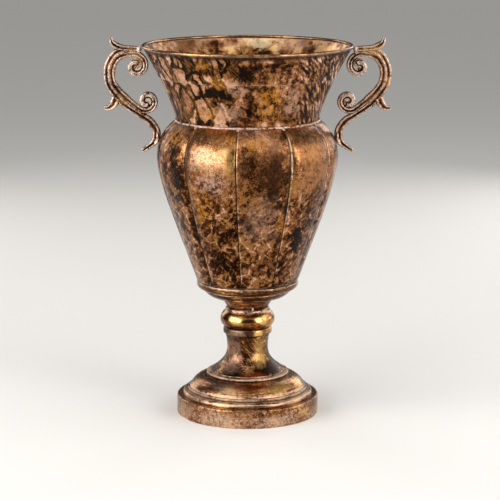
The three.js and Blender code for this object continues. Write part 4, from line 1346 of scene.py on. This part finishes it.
# Clamping hardware inside the pedestal
rod = {"Radius": 4.0, "Low": 26.4, "High": 142.8, "Pitch": 1.25, "Thread Depth": 0.55, "Thread Run": 17.0,
       "Around": 32, "Rows": 470}


def makeRod():
    size = startTree("tieRod", rod)
    counts = {"Size X": 1.0, "Size Y": 1.0, "Vertices X": size["Around"] + 1, "Vertices Y": size["Rows"]}
    grid = size["Around"].add("GeometryNodeMeshGrid", None, counts)
    spot = grid.add("GeometryNodeInputPosition")
    turn, rise = (spot.part(0) + 0.5) * (2 * math.pi), spot.part(1) + 0.5
    height = size["Low"] + rise * (size["High"] - size["Low"])
    fromEnd = (height - size["Low"]).least(size["High"] - height)
    phase = height / size["Pitch"] - turn / (2 * math.pi)
    wave = 2 * abs(phase.sum("FRACT", phase) - 0.5)
    cut = fromEnd.ease(size["Thread Run"], size["Thread Run"] - 1)
    radius = size["Radius"] - size["Thread Depth"] * wave * cut - (1 - fromEnd).most(0.0)
    radius = radius * fromEnd.sum("GREATER_THAN", fromEnd, 0.01)
    sockets = {0: radius * turn.cosine(), 1: radius * turn.sine(), 2: height}
    target = radius.add("ShaderNodeCombineXYZ", None, sockets)
    shaft = grid.add("GeometryNodeSetPosition", None, {0: grid, "Position": target})
    shaft = shaft.add("GeometryNodeMergeByDistance", None, {0: shaft, "Distance": 0.002})
    mesh = growMesh("tieRod", rod, shaft, "zinc")
    markSurface(mesh)
    place("tieRod", mesh, "zinc", ["tie_rod"])


nut = {"flats": 13, "bore": 4.3, "boreChamfer": 0.5, "chamfer": 0.9, "inset": 0.2, "crown": 0.55,
       "around": 96, "sharp": 35}


def makeNut(name, node):
    _, low, high = nodeReach(node)
    angle = np.linspace(0, 2 * np.pi, nut["around"], endpoint=False)
    face, chamfer, cut = nut["flats"] / 2, nut["chamfer"], nut["boreChamfer"]
    hexagon = face / np.cos((angle % (np.pi / 3)) - np.pi / 6)
    edge, crown = face - nut["inset"], face + nut["crown"]
    rows = [(low, edge), (low + chamfer / 2, crown), (low + chamfer, math.inf),
            (high - chamfer, math.inf), (high - chamfer / 2, crown), (high, edge)]
    rings = [(np.minimum(hexagon, limit), z) for z, limit in rows]
    bore = np.full(nut["around"], nut["bore"])
    rings += [(bore + cut, high), (bore, high - cut), (bore, low + cut), (bore + cut, low)]
    grid = np.array([
        np.stack([reach * np.cos(angle), reach * np.sin(angle), np.full(len(angle), z)], -1)
        for reach, z in rings
    ])
    mesh = meshOf(name, grid, True, True)
    mesh.set_sharp_from_angle(angle=math.radians(nut["sharp"]))
    markSurface(mesh)
    place(name, mesh, "zinc", [node])


def makeDisc(name, node, bore, finish):
    radius, low, high = nodeReach(node)
    corners = [(bore, low, 0.25), (radius, low, 0.4), (radius, high, 0.4), (bore, high, 0.25)]
    mesh, _ = turned(name, corners, wobble=0.03, seed=9, segments=120, step=2)
    place(name, mesh, finish, [node])


makeRod()
makeNut("floorNut", "floor_nut")
makeNut("footNut", "foot_nut")
makeDisc("floorWasher", "floor_washer", cap["rodHole"], "zinc")
makeDisc("footWasher", "foot_washer", cap["rodHole"], "zinc")
makeDisc("clampPlate", "clamp_plate", cap["rodHole"], "steel")
print("hardware fitted")

# Stage, light and camera
stage = {"floorReach": 40.0, "floorColour": tint(226, 223, 218), "floorRough": 0.7,
         "world": tint(150, 150, 152), "worldStrength": 0.25}


def makeStage():
    reach = stage["floorReach"]
    mesh = bpy.data.meshes.new("floor")
    corners = [(-reach, -reach, 0), (reach, -reach, 0), (reach, reach, 0), (-reach, reach, 0)]
    mesh.from_pydata(corners, [], [(0, 1, 2, 3)])
    floor = addObject("floor", mesh)
    material = bpy.data.materials.new("paleFloor")
    material.use_nodes = True
    surface = next(n for n in material.node_tree.nodes if n.type == "BSDF_PRINCIPLED")
    surface.inputs["Base Color"].default_value = stage["floorColour"]
    surface.inputs["Roughness"].default_value = stage["floorRough"]
    mesh.materials.append(material)
    world = bpy.data.worlds.new("studio")
    world.use_nodes = True
    background = next(n for n in world.node_tree.nodes if n.type == "BACKGROUND")
    background.inputs["Color"].default_value = stage["world"]
    background.inputs["Strength"].default_value = stage["worldStrength"]
    bpy.context.scene.world = world


softboxes = {
    "leftSoftbox": {"azimuth": -56, "wide": 1.75, "power": 32},
    "rightSoftbox": {"azimuth": 50, "wide": 0.7, "power": 14},
    "rightFill": {"azimuth": 98, "wide": 1.7, "power": 12},
    "backLeft": {"azimuth": -140, "wide": 0.6, "power": 5},
    "backRight": {"azimuth": 148, "wide": 0.6, "power": 5},
}
softboxStand = {"height": 0.7, "distance": 1.5, "high": 1.1, "aim": 0.25}  # they look above the pot's middle
topLight = {"power": 1.2, "spread": 70, "lean": 20}


def makeLights():
    height, distance = softboxStand["height"], softboxStand["distance"]
    down = math.atan2(height - softboxStand["aim"], distance)
    for name, box in softboxes.items():
        lamp = bpy.data.lights.new(name, "AREA")
        lamp.shape = "RECTANGLE"
        lamp.size, lamp.size_y = box["wide"], softboxStand["high"]
        lamp.energy = box["power"]
        holder = addObject(name, lamp)
        turn = math.radians(box["azimuth"])
        holder.location = (distance * math.sin(turn), -distance * math.cos(turn), height)
        holder.rotation_euler = (math.pi / 2 - down, 0, turn)
    top = bpy.data.lights.new("topLight", "SUN")
    top.energy = topLight["power"]
    top.angle = math.radians(topLight["spread"])
    addObject("topLight", top).rotation_euler = (math.radians(topLight["lean"]), 0, 0)


view = {"distance": 2.072, "height": 0.593, "pitch": 11.33, "lens": 141.3, "sensor": 36, "shift": 0.005}


def makeCamera():
    lens = bpy.data.cameras.new("photoView")
    lens.lens = view["lens"]
    lens.sensor_width = view["sensor"]
    lens.shift_x = view["shift"]
    camera = addObject("photoView", lens)
    camera.location = (0, -view["distance"], view["height"])
    camera.rotation_euler = (math.radians(90 - view["pitch"]), 0, 0)
    bpy.context.scene.camera = camera


makeStage()
makeLights()
makeCamera()
bpy.context.scene.view_settings.view_transform = "Standard"
print("stage set")
